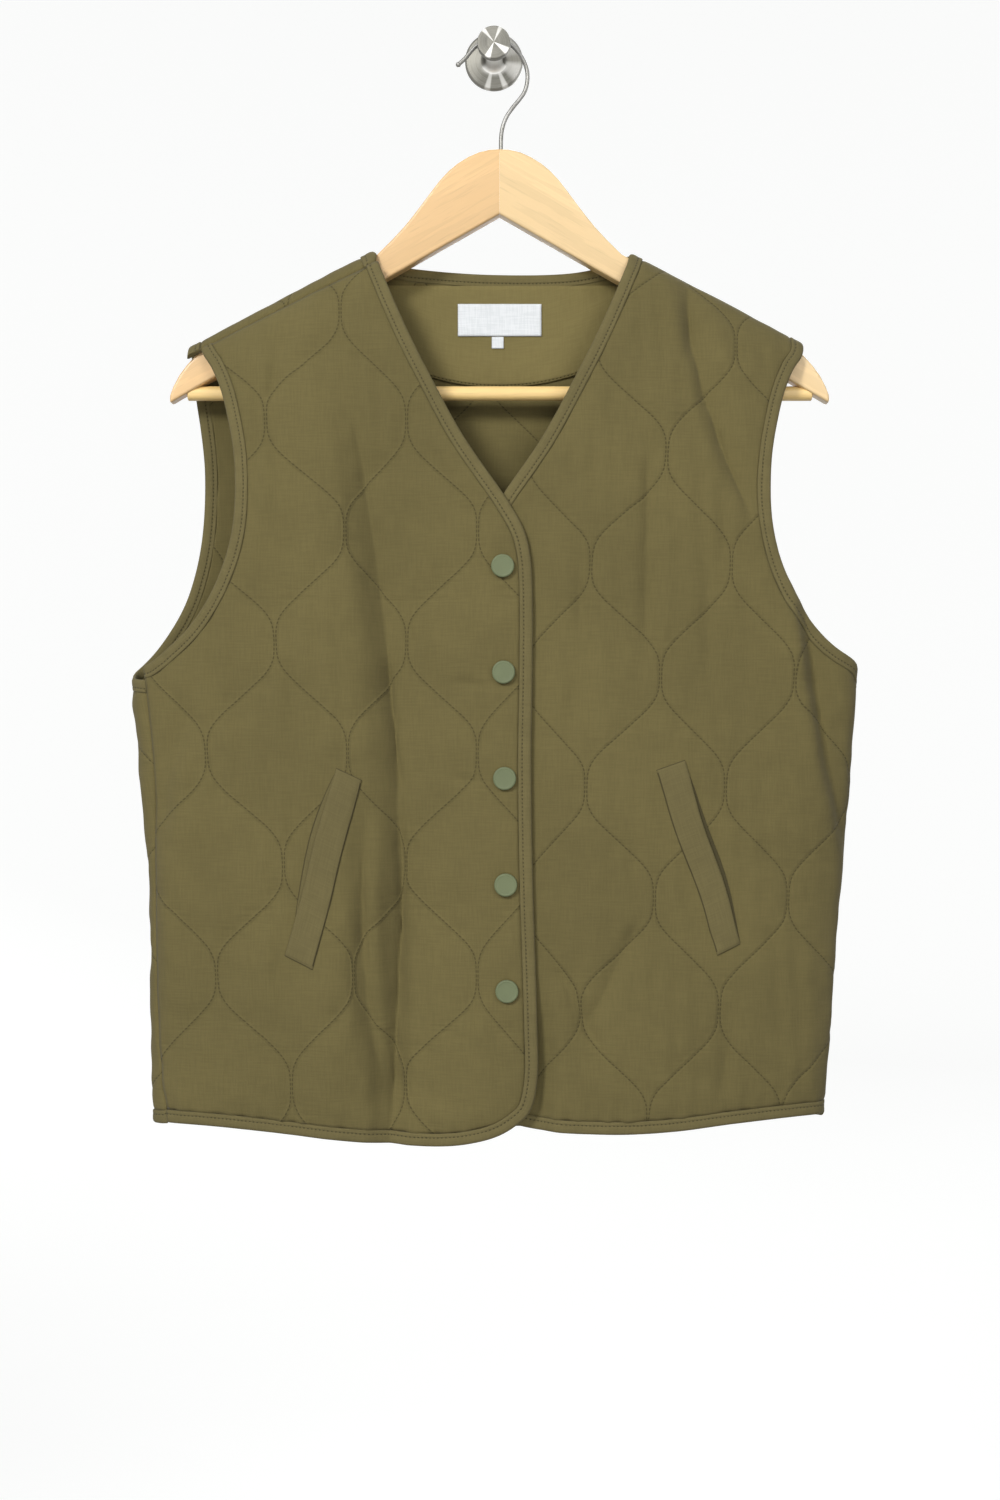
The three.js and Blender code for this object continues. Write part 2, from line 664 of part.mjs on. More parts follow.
function frontPanel(layer) {
  const panel = { face: 'front', layer };
  const side = sideOf[layer];
  const seen = (across, z) => flat('front', frontC(layer, across), z);
  const edgeRows = FRONT_EDGE.map((r) => seen(r.across, r.z));
  const hemRows = FRONT_HEM.map((r) => seen(r.across, r[layer])).reverse();
  const pastSeam = [hemRows[0][0] + side * 12, hemRows[0][1]];
  const neckX = SHOULDER_CENTRE + side * NECK_POINT;
  const neckPoint = cornerAtRidge('front', layer, neckX);
  const edge = spline([pastSeam, ...hemRows, ...edgeRows, neckPoint]);
  const into = normalsOf(edge, -side);
  const cut = shifted(edge, into, BINDING + SEAM);
  const corner = cut.findIndex((p, i) => Math.abs(into[i][0]) >= 0.7 && p[1] < -600);
  const sideTest = (p) => (frontSideC(layer, p[1]) - p[0]) * side;
  const hem = upTo(cut.slice(0, corner + 1), sideTest);
  const hemFromSide = cut.slice(0, corner + 1).filter((p) => sideTest(p) > 0);
  const start = hem[hem.length - 1];
  const bottom = [start, ...hemFromSide].reverse();
  const left = upTo(cut.slice(corner), (p) => p[1] - shoulderW('front', layer, p[0]));

  const tipX = SHOULDER_CENTRE + side * SHOULDER_POINT[layer];
  const armhole = spline([
    ...FRONT_ARMHOLE.map((r) => seen(r.across, r.z)),
    cornerAtRidge('front', layer, tipX),
  ]);
  const armIn = normalsOf(armhole, side);
  const armCut = shifted(armhole, armIn, BINDING + SEAM).filter((p) => sideTest(p) > 0);
  const arm = upTo(armCut, (p) => p[1] - shoulderW('front', layer, p[0]));
  const under = arm[0];
  const sideLine = even(30).map((t) => {
    const w = mix(start[1], under[1], t);
    return [frontSideC(layer, w), w];
  });
  sideLine[0] = start;
  return { panel, layer, bottom, near: left, side: sideLine, arm };
}

// Shares along an armhole or a neckline: closer at the underarm, closest over the shoulder.
function rowShares(length, count) {
  const roll = GRID.rollRows.map((d) => 1 - d / length).reverse();
  return [...even(count).map((t) => t ** GRID.closerAtUnderarm * roll[0]), ...roll.slice(1), 1];
}

// Shares along the back neck edge, close where both ends roll over the shoulders.
function neckShares(length) {
  const near = [0, ...GRID.neckRolls.map((d) => d / length)];
  const between = even(GRID.neckColumns - 2 * GRID.neckRolls.length).slice(1, -1);
  const [from, to] = [near[near.length - 1], 1 - near[near.length - 1]];
  return [...near, ...between.map((t) => mix(from, to, t)), ...near.map((t) => 1 - t).reverse()];
}

function lineRows(low, high) {
  const highShares = rowShares(lengths(high).pop(), GRID.high);
  return [...resample(low, even(GRID.low)), ...resample(high, highShares).slice(1)];
}

function splitAt(line, w) {
  const i = line.findIndex((p) => p[1] > w);
  const t = (w - line[i - 1][1]) / (line[i][1] - line[i - 1][1]);
  const middle = mixPoint(line[i - 1], line[i], t);
  return [[...line.slice(0, i), middle], [middle, ...line.slice(i)]];
}

// A grid blended from four edges: rows[j] runs between first[j] and last[j].
function coons(first, last, bottom, top) {
  const rows = first.length - 1;
  const columns = bottom.length - 1;
  return first.map((p, j) =>
    bottom.map((_, i) => {
      const [a, b] = [i / columns, j / rows];
      return [0, 1].map((k) => {
        const base = mix(p[k], last[j][k], a);
        const low = bottom[i][k] - mix(bottom[0][k], bottom[columns][k], a);
        const high = top[i][k] - mix(top[0][k], top[columns][k], a);
        return base + (1 - b) ** 3 * low + b ** 3 * high;
      });
    }),
  );
}

// The places and outward directions along a bound edge. Where it ends on a seam it is squared to it.
function edgeFrames(panel, line, towards, ends) {
  const normals = normalsOf(line, towards);
  if (ends.first) normals[0] = ends.first;
  if (ends.last) normals[line.length - 1] = ends.last;
  return line.map((at, i) => ({ panel, at, out: normals[i] }));
}

// The direction of the side seam in the flat, up or down.
function alongSide(sideAt, w, up) {
  const shift = sideAt(w + up) - sideAt(w);
  const size = Math.hypot(1, shift);
  return [shift / size, up / size];
}

// The direction of the shoulder seam in the flat, towards one side.
function alongShoulder(face, layer, c, side) {
  const rise = shoulderW(face, layer, c + side) - shoulderW(face, layer, c);
  const size = Math.hypot(1, rise);
  return [side / size, rise / size];
}

function makeFront(layer) {
  const shape = frontPanel(layer);
  const side = sideOf[layer];
  const [nearLow, nearHigh] = splitAt(shape.near, shape.arm[0][1]);
  const near = lineRows(nearLow, nearHigh);
  const far = lineRows(shape.side, shape.arm);
  const bottom = resample(shape.bottom, even(GRID.frontColumns));
  const [from, to] = [near[near.length - 1], far[far.length - 1]];
  const top = even(GRID.frontColumns).map((t) => {
    const c = mix(from[0], to[0], t);
    return [c, shoulderW('front', layer, c)];
  });
  top[0] = from;
  top[top.length - 1] = to;
  const grid = coons(near, far, bottom, top);
  const edge = [...bottom.slice(1).reverse(), ...near];
  const sideAt = (w) => frontSideC(layer, w);
  return {
    panel: shape.panel,
    solid: quiltedPanel(shape.panel, grid),
    edge: edgeFrames(shape.panel, edge, side, {
      first: alongSide(sideAt, edge[0][1], -1),
      last: alongShoulder('front', layer, from[0], -side),
    }),
    arm: edgeFrames(shape.panel, far.slice(GRID.low), -side, {
      first: alongSide(sideAt, far[GRID.low][1], 1),
      last: alongShoulder('front', layer, to[0], side),
    }),
    grid,
  };
}

function backSideC(layer, w) {
  const side = sideOf[layer];
  const wide = halfAt(side, w);
  const around = (RING.front.length + RING.back.length) * wide;
  return side * (around - Math.abs(frontSideC(layer, w)) - SEAM);
}

function makeBack() {
  const panel = { face: 'back', layer: 'back' };
  const sides = {};
  for (const layer of ['right', 'left']) {
    const side = sideOf[layer];
    const tip = cornerAtRidge('back', layer, SHOULDER_CENTRE + side * SHOULDER_POINT[layer]);
    const armhole = spline([
      [backSideC(layer, UNDERARM) + side * 10, UNDERARM - 1],
      [side * RING.back.length * halfAt(side, UNDERARM), UNDERARM],
      ...BACK_ARMHOLE.map((r) => flat('back', backCentre(r.z) + side * r[layer], r.z)),
      tip,
    ]);
    const cut = shifted(armhole, normalsOf(armhole, side), BINDING + SEAM);
    const inside = cut.filter((p) => Math.abs(backSideC(layer, p[1])) > Math.abs(p[0]));
    const arm = upTo(inside, (p) => p[1] - shoulderW('back', layer, p[0]));
    const hemW = BACK_HEM.sides + BINDING + SEAM;
    const line = even(30).map((t) => {
      const w = mix(hemW, arm[0][1], t);
      return [backSideC(layer, w), w];
    });
    sides[layer] = { line, arm, rows: lineRows(line, arm) };
  }
  const hemAt = (c) => {
    const reach = (c - BACK_CENTRE) / 262;
    return mix(BACK_HEM.middle, BACK_HEM.sides, Math.min(1, reach ** 2)) + BINDING + SEAM;
  };
  const [cRight, cLeft] = [sides.right.line[0][0], sides.left.line[0][0]];
  const bottom = even(GRID.backColumns).map((t) => {
    const c = mix(cRight, cLeft, t - GRID.closerAtSides * Math.sin(2 * Math.PI * t));
    return [c, hemAt(c)];
  });
  bottom[0] = sides.right.line[0];
  bottom[bottom.length - 1] = sides.left.line[0];

  const neckHalf = NECK_POINT + BINDING + SEAM;
  const neckEnds = ['right', 'left'].map((layer) => {
    const [c] = flat('back', SHOULDER_CENTRE + sideOf[layer] * neckHalf, ridge(neckHalf) - 4);
    return [c, shoulderW('back', layer, c)];
  });
  const neckRows = BACK_NECK.map(({ across, z }) => {
    const cut = across + Math.sign(across) * BINDING * 0.7;
    return flat('back', SHOULDER_CENTRE + cut, z - BINDING - SEAM);
  });
  const overRidge = ['right', 'left'].map((layer) => {
    const x = SHOULDER_CENTRE + sideOf[layer] * (neckHalf - 8);
    return flat('back', x, ridge(x) - 6);
  });
  const crestX = SHOULDER_CENTRE - neckHalf;
  const crest = [flat('back', crestX, ridge(crestX) - 1)[0], ridge(crestX) + EXCESS.back];
  const neck = spline([neckEnds[0], crest, overRidge[0], ...neckRows, overRidge[1], neckEnds[1]]);
  const shoulderColumns = (GRID.backColumns - GRID.neckColumns) / 2;
  const shoulder = (layer, from, to) =>
    even(shoulderColumns).map((t) => {
      const c = mix(from[0], to[0], t);
      return [c, shoulderW('back', layer, c)];
    });
  const tips = [sides.right.rows, sides.left.rows].map((r) => r[r.length - 1]);
  const rightShoulder = shoulder('right', tips[0], neckEnds[0]);
  const leftShoulder = shoulder('left', neckEnds[1], tips[1]);
  rightShoulder[0] = tips[0];
  leftShoulder[shoulderColumns] = tips[1];
  const neckRow = resample(neck, neckShares(lengths(neck).pop()));
  const top = [...rightShoulder.slice(0, -1), ...neckRow, ...leftShoulder.slice(1)];
  const grid = coons(sides.right.rows, sides.left.rows, bottom, top);
  return {
    panel,
    solid: quiltedPanel(panel, grid),
    neck: edgeFrames(panel, neckRow, 1, {
      first: alongShoulder('back', 'right', neckEnds[0][0], 1),
      last: alongShoulder('back', 'left', neckEnds[1][0], -1),
    }),
    hem: edgeFrames(panel, bottom, -1, {
      first: alongSide((w) => backSideC('right', w), bottom[0][1], -1),
      last: alongSide((w) => backSideC('left', w), bottom[bottom.length - 1][1], -1),
    }),
    arm: {
      right: edgeFrames(panel, sides.right.rows.slice(GRID.low), 1, {
        first: alongSide((w) => backSideC('right', w), sides.right.arm[0][1], 1),
        last: alongShoulder('back', 'right', tips[0][0], -1),
      }),
      left: edgeFrames(panel, sides.left.rows.slice(GRID.low), -1, {
        first: alongSide((w) => backSideC('left', w), sides.left.arm[0][1], 1),
        last: alongShoulder('back', 'left', tips[1][0], 1),
      }),
    },
  };
}

// Small pieces on the panels
function makeWelt(front, layer) {
  const { seam, open } = WELTS[layer];
  const rows = even(WELT.steps).map((t) => {
    const a = mixPoint(seam[0], seam[1], t);
    const b = mixPoint(open[0], open[1], t);
    return [a, mixPoint(a, b, 0.5), b].map(([across, z]) => flat('front', frontC(layer, across), z));
  });
  return thinSheet(front.panel, rows, (j, i) => {
    const gape = WELT.gape * Math.sin((Math.PI * j) / WELT.steps) * (i / 2) ** 2;
    const base = WALL + WELT.lift + gape;
    return [base, base + WELT.thick];
  });
}

function makeFacing(back) {
  const columns = 20;
  const rows = 5;
  const grid = even(rows).map((v) =>
    even(columns).map((u) => {
      const x = SHOULDER_CENTRE + mix(-FACING.half, FACING.half, u);
      const low = FACING.bottom + FACING.rise * (x - SHOULDER_CENTRE) ** 2;
      const high = Math.max(Math.min(FACING.top, ridge(x) - FACING.below), low + 6);
      return flat('back', x, mix(low, high, v));
    }),
  );
  return thinSheet(back.panel, grid, () => [-FACING.lift - FACING.thick, -FACING.lift]);
}

function makeLabel(back, box, columns, rows) {
  const grid = even(rows).map((v) =>
    even(columns).map((u) => flat('back', mix(box.left, box.right, u), mix(box.bottom, box.top, v))),
  );
  const top = -FACING.lift - FACING.thick - LABEL.lift;
  return thinSheet(back.panel, grid, () => [top - LABEL.thick, top]);
}

function makeSnap(front, index) {
  const z = SNAPS.top - index * SNAPS.pitch;
  const [c, w] = flat('front', FRONT_CENTRE + index * SNAPS.lean, z);
  const base = place(front.panel, c, w, WALL + SNAPS.lift);
  const tip = place(front.panel, c, w, WALL + SNAPS.lift + 1);
  const { radius: r, height: h } = SNAPS;
  const profile = [[0, 0], [r - 0.6, 0], [r, 0.6], [r, h - 0.7], [r - 0.7, h], [0, h]];
  const cap = new THREE.LatheGeometry(profile.map(([x, y]) => new THREE.Vector2(x, y)), SNAPS.segments);
  const mesh = { geometry: cap, position: base };
  mesh.quaternion = new THREE.Quaternion().setFromUnitVectors(
    new THREE.Vector3(0, 1, 0),
    tip.sub(base).normalize(),
  );
  return mesh;
}

// The hanger
function armOutline() {
  const top = [
    [0, HANGER.peak], [14, HANGER.peak - 2.2], [28, HANGER.peak - 9.5], [39.5, HANGER.peak - 20.5],
    [51, HANGER.peak - 35.5], [60, HANGER.peak - 47.5], [68.5, HANGER.peak - 57],
  ];
  const ridgeRows = [84, 110, 140, 170, 195].map((d) => [d, ridge(SHOULDER_CENTRE + d) - HANGER.gap]);
  const end = [[204, -207.5], [215, -218.8], [220.5, -229], HANGER.tip];
  const upper = new THREE.SplineCurve([...top, ...ridgeRows, ...end].map(([x, z]) => new THREE.Vector2(x, z)));
  return [...upper.getPoints(32).map((p) => [p.x, p.y]), [0, HANGER.notch]];
}

function solidFrom(geometry) {
  const bare = geometry.clone();
  bare.deleteAttribute('normal');
  bare.deleteAttribute('uv');
  const merged = mergeVertices(bare, 1e-4);
  return new wasm.Manifold(
    new wasm.Mesh({
      numProp: 3,
      vertProperties: new Float32Array(merged.attributes.position.array),
      triVerts: new Uint32Array(merged.index.array),
    }),
  );
}

function geometryFrom(solid) {
  const mesh = solid.getMesh();
  const geometry = new THREE.BufferGeometry();
  geometry.setAttribute('position', new THREE.BufferAttribute(mesh.vertProperties, 3));
  geometry.setIndex(new THREE.BufferAttribute(mesh.triVerts, 1));
  return geometry;
}

function barGeometry(radius, from, to) {
  const bar = new THREE.CylinderGeometry(radius, radius, to - from, BAR.segments);
  bar.rotateZ(Math.PI / 2);
  bar.translate((from + to) / 2, HANG, BAR.z);
  return bar;
}

// Each arm is a slab with rounded-off long edges; the mitred joint in the middle stays square.
function makeArm(side) {
  const outline = armOutline();
  const last = outline.length - 1;
  const inward = outline.map(([x, z], i) => {
    if (i === 0 || i === last) return [0, i === 0 ? -1 : 1];
    const [a, b] = [outline[i - 1], outline[i + 1]];
    const [u, v] = [[a[0] - x, a[1] - z], [b[0] - x, b[1] - z]];
    const [lengthU, lengthV] = [Math.hypot(...u), Math.hypot(...v)];
    const turn = [v[0] / lengthV - u[0] / lengthU, v[1] / lengthV - u[1] / lengthU];
    const size = Math.hypot(...turn);
    return [turn[1] / size, -turn[0] / size];
  });
  const halfThick = HANGER.thick / 2;
  const rings = [
    { y: -halfThick, inset: HANGER.round },
    { y: -halfThick + 0.3 * HANGER.round, inset: 0.3 * HANGER.round },
    { y: -halfThick + HANGER.round, inset: 0 },
    { y: halfThick - HANGER.round, inset: 0 },
    { y: halfThick - 0.3 * HANGER.round, inset: 0.3 * HANGER.round },
    { y: halfThick, inset: HANGER.round },
  ];
  const points = rings.flatMap(({ y, inset }) =>
    outline.map(([x, z], i) => {
      const out = x + inset * inward[i][0] + HANGER.joint / 2;
      return new THREE.Vector3(SHOULDER_CENTRE + side * out, HANG + y, z + inset * inward[i][1]);
    }),
  );
  const count = outline.length;
  const lid = THREE.ShapeUtils.triangulateShape(outline.map(([x, z]) => new THREE.Vector2(x, z)), []);
  const triangles = [];
  for (const [a, b, c] of lid) {
    const [p, q, r] = [outline[a], outline[b], outline[c]];
    const turns = (q[0] - p[0]) * (r[1] - p[1]) - (q[1] - p[1]) * (r[0] - p[0]);
    const [first, second] = turns < 0 ? [b, c] : [c, b];
    triangles.push([a, second, first], [a, first, second].map((k) => k + (rings.length - 1) * count));
  }
  for (let r = 0; r < rings.length - 1; r += 1) {
    for (let i = 0; i < count; i += 1) {
      const [a, b] = [r * count + i, r * count + ((i + 1) % count)];
      triangles.push([a, b, b + count], [a, b + count, a + count]);
    }
  }
  const socket = barGeometry(BAR.radius + BAR.play, BAR.from - BAR.play, BAR.to + BAR.play);
  return geometryFrom(solidFrom(meshOf(points, triangles)).subtract(solidFrom(socket)));
}

function makeWireHook() {
  const points = [
    [4.8, HANGER.peak + SEAM + 0.2], [4.8, -60], [5.6, -52.8], [8.3, -45], [12.8, -38.2], [17.4, -32.6],
    [20.6, -27.8], [22.4, -21.5], [22.5, -14.5], [20.6, -8], [16.9, -1.6], [11.5, 4],
    [5.9, 7.1], [0, PEG.neck + SEAM + WIRE.radius + 0.1], [-5.9, 7], [-11.5, 3.6], [-15.6, -0.6], [-19.8, -5.6], [-24, -9.3],
  ];
  const path = new THREE.CatmullRomCurve3(points.map(([x, z]) => new THREE.Vector3(x, HANG, z)));
  const ring = even(WIRE.sides)
    .slice(0, -1)
    .map((t) => new THREE.Vector2(Math.cos(2 * Math.PI * t), Math.sin(2 * Math.PI * t)).multiplyScalar(WIRE.radius));
  return new THREE.ExtrudeGeometry(new THREE.Shape(ring), {
    steps: WIRE.steps,
    bevelEnabled: false,
    extrudePath: path,
  });
}

// The wall hook: plate, flared neck and knob turned about one axis, from the wall outwards.
function makeWallHook() {
  const profile = [
    [0, 0], [19.8, 0], [19.8, 2.2], [18.4, 3.6], [8.6, 4.4], [6.8, 6.5], [PEG.neck, 9.5], [PEG.neck, 33.5],
    [10.2, 35.6], [11, 36.4], [11, 41.2], [10.2, 42], [0, 42],
  ];
  return new THREE.LatheGeometry(profile.map(([r, y]) => new THREE.Vector2(r, y)), PEG.segments);
}

// Finishes
const finish = (color, roughness, metalness = 0) => new THREE.MeshStandardMaterial({ color, roughness, metalness });
const olive = finish(0x6e6443, 0.9);
const oliveBinding = finish(0x6b6142, 0.85);
const oliveLining = finish(0x6a5f3e, 0.9);
const white = finish(0xe9ecf0, 0.8);
const green = finish(0x6f8064, 0.5);
const beech = finish(0xe9bd83, 0.5);
const dowel = finish(0xe6c493, 0.5);
const steel = finish(0xa9a6a0, 0.3, 1);

const vest = new THREE.Group();
function addPiece(name, geometry, material) {
  const mesh = new THREE.Mesh(geometry, material);
  mesh.name = name;
  vest.add(mesh);
  return mesh;
}

const fronts = { right: makeFront('right'), left: makeFront('left') };
const back = makeBack();
addPiece('front_right', fronts.right.solid, olive);
addPiece('front_left', fronts.left.solid, olive);
addPiece('back', back.solid, olive);
for (const layer of ['right', 'left']) {
  const armRound = [...fronts[layer].arm, ...[...back.arm[layer]].reverse()];
  addPiece(`binding_front_${layer}`, bindingOn(fronts[layer].edge), oliveBinding);
  addPiece(`binding_armhole_${layer}`, bindingOn(armRound), oliveBinding);
  addPiece(`pocket_welt_${layer}`, makeWelt(fronts[layer], layer), oliveBinding);
}
addPiece('binding_back_neck', bindingOn(back.neck), oliveBinding);
addPiece('binding_back_hem', bindingOn(back.hem), oliveBinding);
addPiece('facing_back_neck', makeFacing(back), oliveLining);
addPiece('label', makeLabel(back, LABEL, 6, 2), white);
addPiece('label_tab', makeLabel(back, LABEL_TAB, 1, 1), white);
for (let i = 0; i < SNAPS.count; i += 1) {
  const snap = makeSnap(fronts.right, i);
  const mesh = addPiece(`snap_${i + 1}`, snap.geometry, green);
  mesh.position.copy(snap.position);
  mesh.quaternion.copy(snap.quaternion);
}
addPiece('hanger_arm_right', makeArm(-1), beech);
addPiece('hanger_arm_left', makeArm(1), beech);
addPiece('hanger_bar', barGeometry(BAR.radius, BAR.from, BAR.to), dowel);
addPiece('hanger_hook', makeWireHook(), steel);
const wallHook = addPiece('wall_hook', makeWallHook(), steel);
wallHook.rotation.x = Math.PI;

export default vest;
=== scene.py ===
"""A quilted vest on a wooden hanger that hangs from a round steel wall hook.

Lengths in the tables are millimetres in the frame's own axes: +X to the viewer's right, -Y towards
the viewer, +Z up, from the middle of the wall hook's back face. Right and left are the wearer's.
"""

import math

import bpy
import numpy as np
from mathutils import Matrix, Vector


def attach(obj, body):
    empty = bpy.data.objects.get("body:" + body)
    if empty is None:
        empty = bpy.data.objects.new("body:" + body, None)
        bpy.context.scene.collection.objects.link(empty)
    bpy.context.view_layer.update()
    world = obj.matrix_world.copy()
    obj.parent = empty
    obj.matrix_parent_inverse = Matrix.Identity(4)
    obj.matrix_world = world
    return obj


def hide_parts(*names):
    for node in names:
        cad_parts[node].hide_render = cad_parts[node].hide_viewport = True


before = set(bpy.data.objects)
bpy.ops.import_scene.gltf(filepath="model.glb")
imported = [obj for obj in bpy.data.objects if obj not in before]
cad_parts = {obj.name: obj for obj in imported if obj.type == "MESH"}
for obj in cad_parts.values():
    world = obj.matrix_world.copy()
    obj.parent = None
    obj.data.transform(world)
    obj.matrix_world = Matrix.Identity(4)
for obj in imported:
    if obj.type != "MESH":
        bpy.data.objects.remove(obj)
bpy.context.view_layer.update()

bl_info = {
    "name": "Quilted vest on a hanger",
    "version": (1, 0, 0),
    "blender": (4, 5, 0),
    "location": "3D View > Sidebar > Vest",
    "description": "Makes a quilted vest, its hanger, its wall hook and a plain stage",
    "category": "Add Mesh",
}

MM = 0.001
CLOSE = 1e-6
BODY_OF_ALL = "root"

# The stage, in metres: its glow and the shade of its own colour change between two heights
STAGE = {"low": -1.7, "high": 0.8}
STAGE_GLOW = {"low": 0.28, "high": 0.82}
STAGE_SHADE = {"low": 0.24, "high": 0.38}
FLOOR = {"centre_y": -0.1, "z": -1.75, "radius": 4.4, "sweep": 1.9, "top": 3.2, "steps": 14}
WORLD_LIGHT = 0.24
LIGHTS = {
    "Key": {"at": (-2.0, -3.3, 1.6), "size": 1.0, "power": 139},
    "Front": {"at": (1.6, -3.3, 1.1), "size": 1.6, "power": 48},
    "Low": {"at": (-0.2, -3.3, -1.5), "size": 1.8, "power": 27},
    "Back": {"at": (0.6, 2.6, 0.9), "size": 2.4, "power": 75},
}
LIGHTS_AIM = (0, 0, -0.4)
CAMERA = {"at": (4.1, -1427.7, -471.1), "lens": 50, "sensor": 36}


def table(columns, *rows):
    """A small table as one array for each named column."""
    return dict(zip(columns.split(), np.array(rows, dtype=float).T))


# Where the vest hangs, with its ridge over the hanger and its shoulder seams in front of that
HANG_Y = -24.0
FRONT_CENTRE = 6.1
BACK_CENTRE = -6.1
SHOULDER_CENTRE = 3.8
# The back's centre line moves from the shoulders' centre to its own below this height
CENTRE_MOVES = {"from": -210.0, "over": 100.0}
RIDGE = {"at_neck": -137.0, "neck_half": 82.0, "slope": 0.546, "round": 40.0}
SEAM_FORWARD = {"right": 18.0, "left": -3.0}
SEAM_TAPER = 5.0
SHOULDER_LENGTH = 124.0

# Half widths and depths of the hanging body at each height
BODY = table(
    "z right left front back",
    (-740, 225.6, 217, 31, 15),
    (-716, 226.2, 219, 31.5, 15.5),
    (-640, 227.5, 225, 33, 16.5),
    (-572, 228.6, 229.5, 34, 17),
    (-505, 233, 236, 34, 17),
    (-424, 240.6, 241.3, 33, 17),
    (-330, 246, 246, 32, 17),
    (-130, 250, 250, 31, 17),
)
SECTION_POWER = {"front": 3.0, "back": 3.6}
SHOULDER_POWER = {"front": 2.3, "back": 3.0}
SHOULDER_DROP = {"front": 150.0, "back": 80.0}

# Finished edges as they are seen from the front, across from the front or back centre
FRONT_EDGE = table(
    "z across",
    (-688, -22.3),
    (-655, -22.3),
    (-609, -21),
    (-556, -19.3),
    (-478, -18.3),
    (-425, -19),
    (-364, -19),
    (-343, -17.6),
    (-327, -13.7),
    (-307, -2.6),
    (-265, 26),
    (-223, 48.8),
    (-195, 62.8),
    (-162, 77),
    (-143, 84),
)
NECK_POINT = 86.5
# How far the back's neck edge draws in over the ridge to meet the front's at the seam
NECK_DRAWN_IN = {"right": 5.0, "left": 0.0}
FRONT_HEM = table(
    "across right left",
    (240, -718.5, -714),
    (197, -719.5, -714),
    (154, -723, -717.6),
    (114, -727.5, -722.4),
    (80, -731, -724.3),
    (45, -732.5, -723.5),
    (22, -730, -721.5),
    (4, -725, -717),
    (-8, -718, -710),
    (-17.5, -708.5, -694),
)
FRONT_ARMHOLE = table(
    "z across",
    (-421.5, 250),
    (-414, 235),
    (-403, 221),
    (-391, 208.5),
    (-376, 197.5),
    (-360, 189),
    (-341, 182),
    (-322, 178),
    (-300, 176.6),
    (-276, 177.6),
    (-253, 181.5),
    (-232, 187),
    (-217, 193.5),
    (-207, 200),
)
BACK_ARMHOLE = table(
    "z right left",
    (-411, 228.4, 226),
    (-394, 215.6, 212),
    (-373, 204, 199.5),
    (-351, 196.8, 192),
    (-329, 192.6, 187.6),
    (-304, 190.7, 185.5),
    (-278, 193.1, 186),
    (-253, 199.3, 188.5),
    (-234, 204.5, 191),
    (-215, 207.5, 195.5),
)
SHOULDER_POINT = {"right": 208.5, "left": 201.5}
UNDERARM = -421.0
# Where the back's armhole line starts, past the side seam that then cuts it
ARMHOLE_START = {"past": 10.0, "below": 5.0}
SIDE_SEAM = table(
    "z right left",
    (-740, 221.5, 220.5),
    (-716, 224, 223),
    (-652, 231, 229),
    (-575, 232.8, 233.5),
    (-494, 232.6, 240),
    (-464, 234.5, 242.5),
    (-424, 239, 245),
    (-390, 242, 247),
)
BACK_HEM = {"middle": -727.0, "right": -718.5, "left": -714.0, "half": 262.0}
# The front's rounded lower corner ends where the edge first stands this upright, above no such height
CORNER = {"upright": 0.7, "under": -600.0}
BACK_NECK = table("across z", (-66, -142), (-41, -145), (0, -147.5), (45, -146.5), (67, -142.4))
BACK_NECK_WIDER = 5.6
# The point of the back's neck line beside each shoulder, in from the seam and down from the ridge
NECK_TURN = {"in": 8.0, "down": 6.0}

# Quilting: wavy lines that nearly touch their neighbours at every half wave
QUILT = {"spacing": 44.0, "wave": 146.5, "near": 1.3, "flat": 0.05, "square": 0.018}
QUILT_AT = {"right": (-57.3, -399.8), "left": (109.0, -422.3), "back": (38.0, -430.0)}

# How far the lines of the fronts have moved sideways at mid height, and for each millimetre further down
QUILT_DRIFT = table(
    "c middle down",
    (-192, -3.7, 0.041),
    (-150, 0.9, 0.041),
    (-103, 4.5, 0.022),
    (-57, 0, 0),
    (-13, 3.2, 0),
    (50, -3.0, -0.022),
    (120, 2.0, -0.028),
)
DRIFT_MIDDLE = -398.0

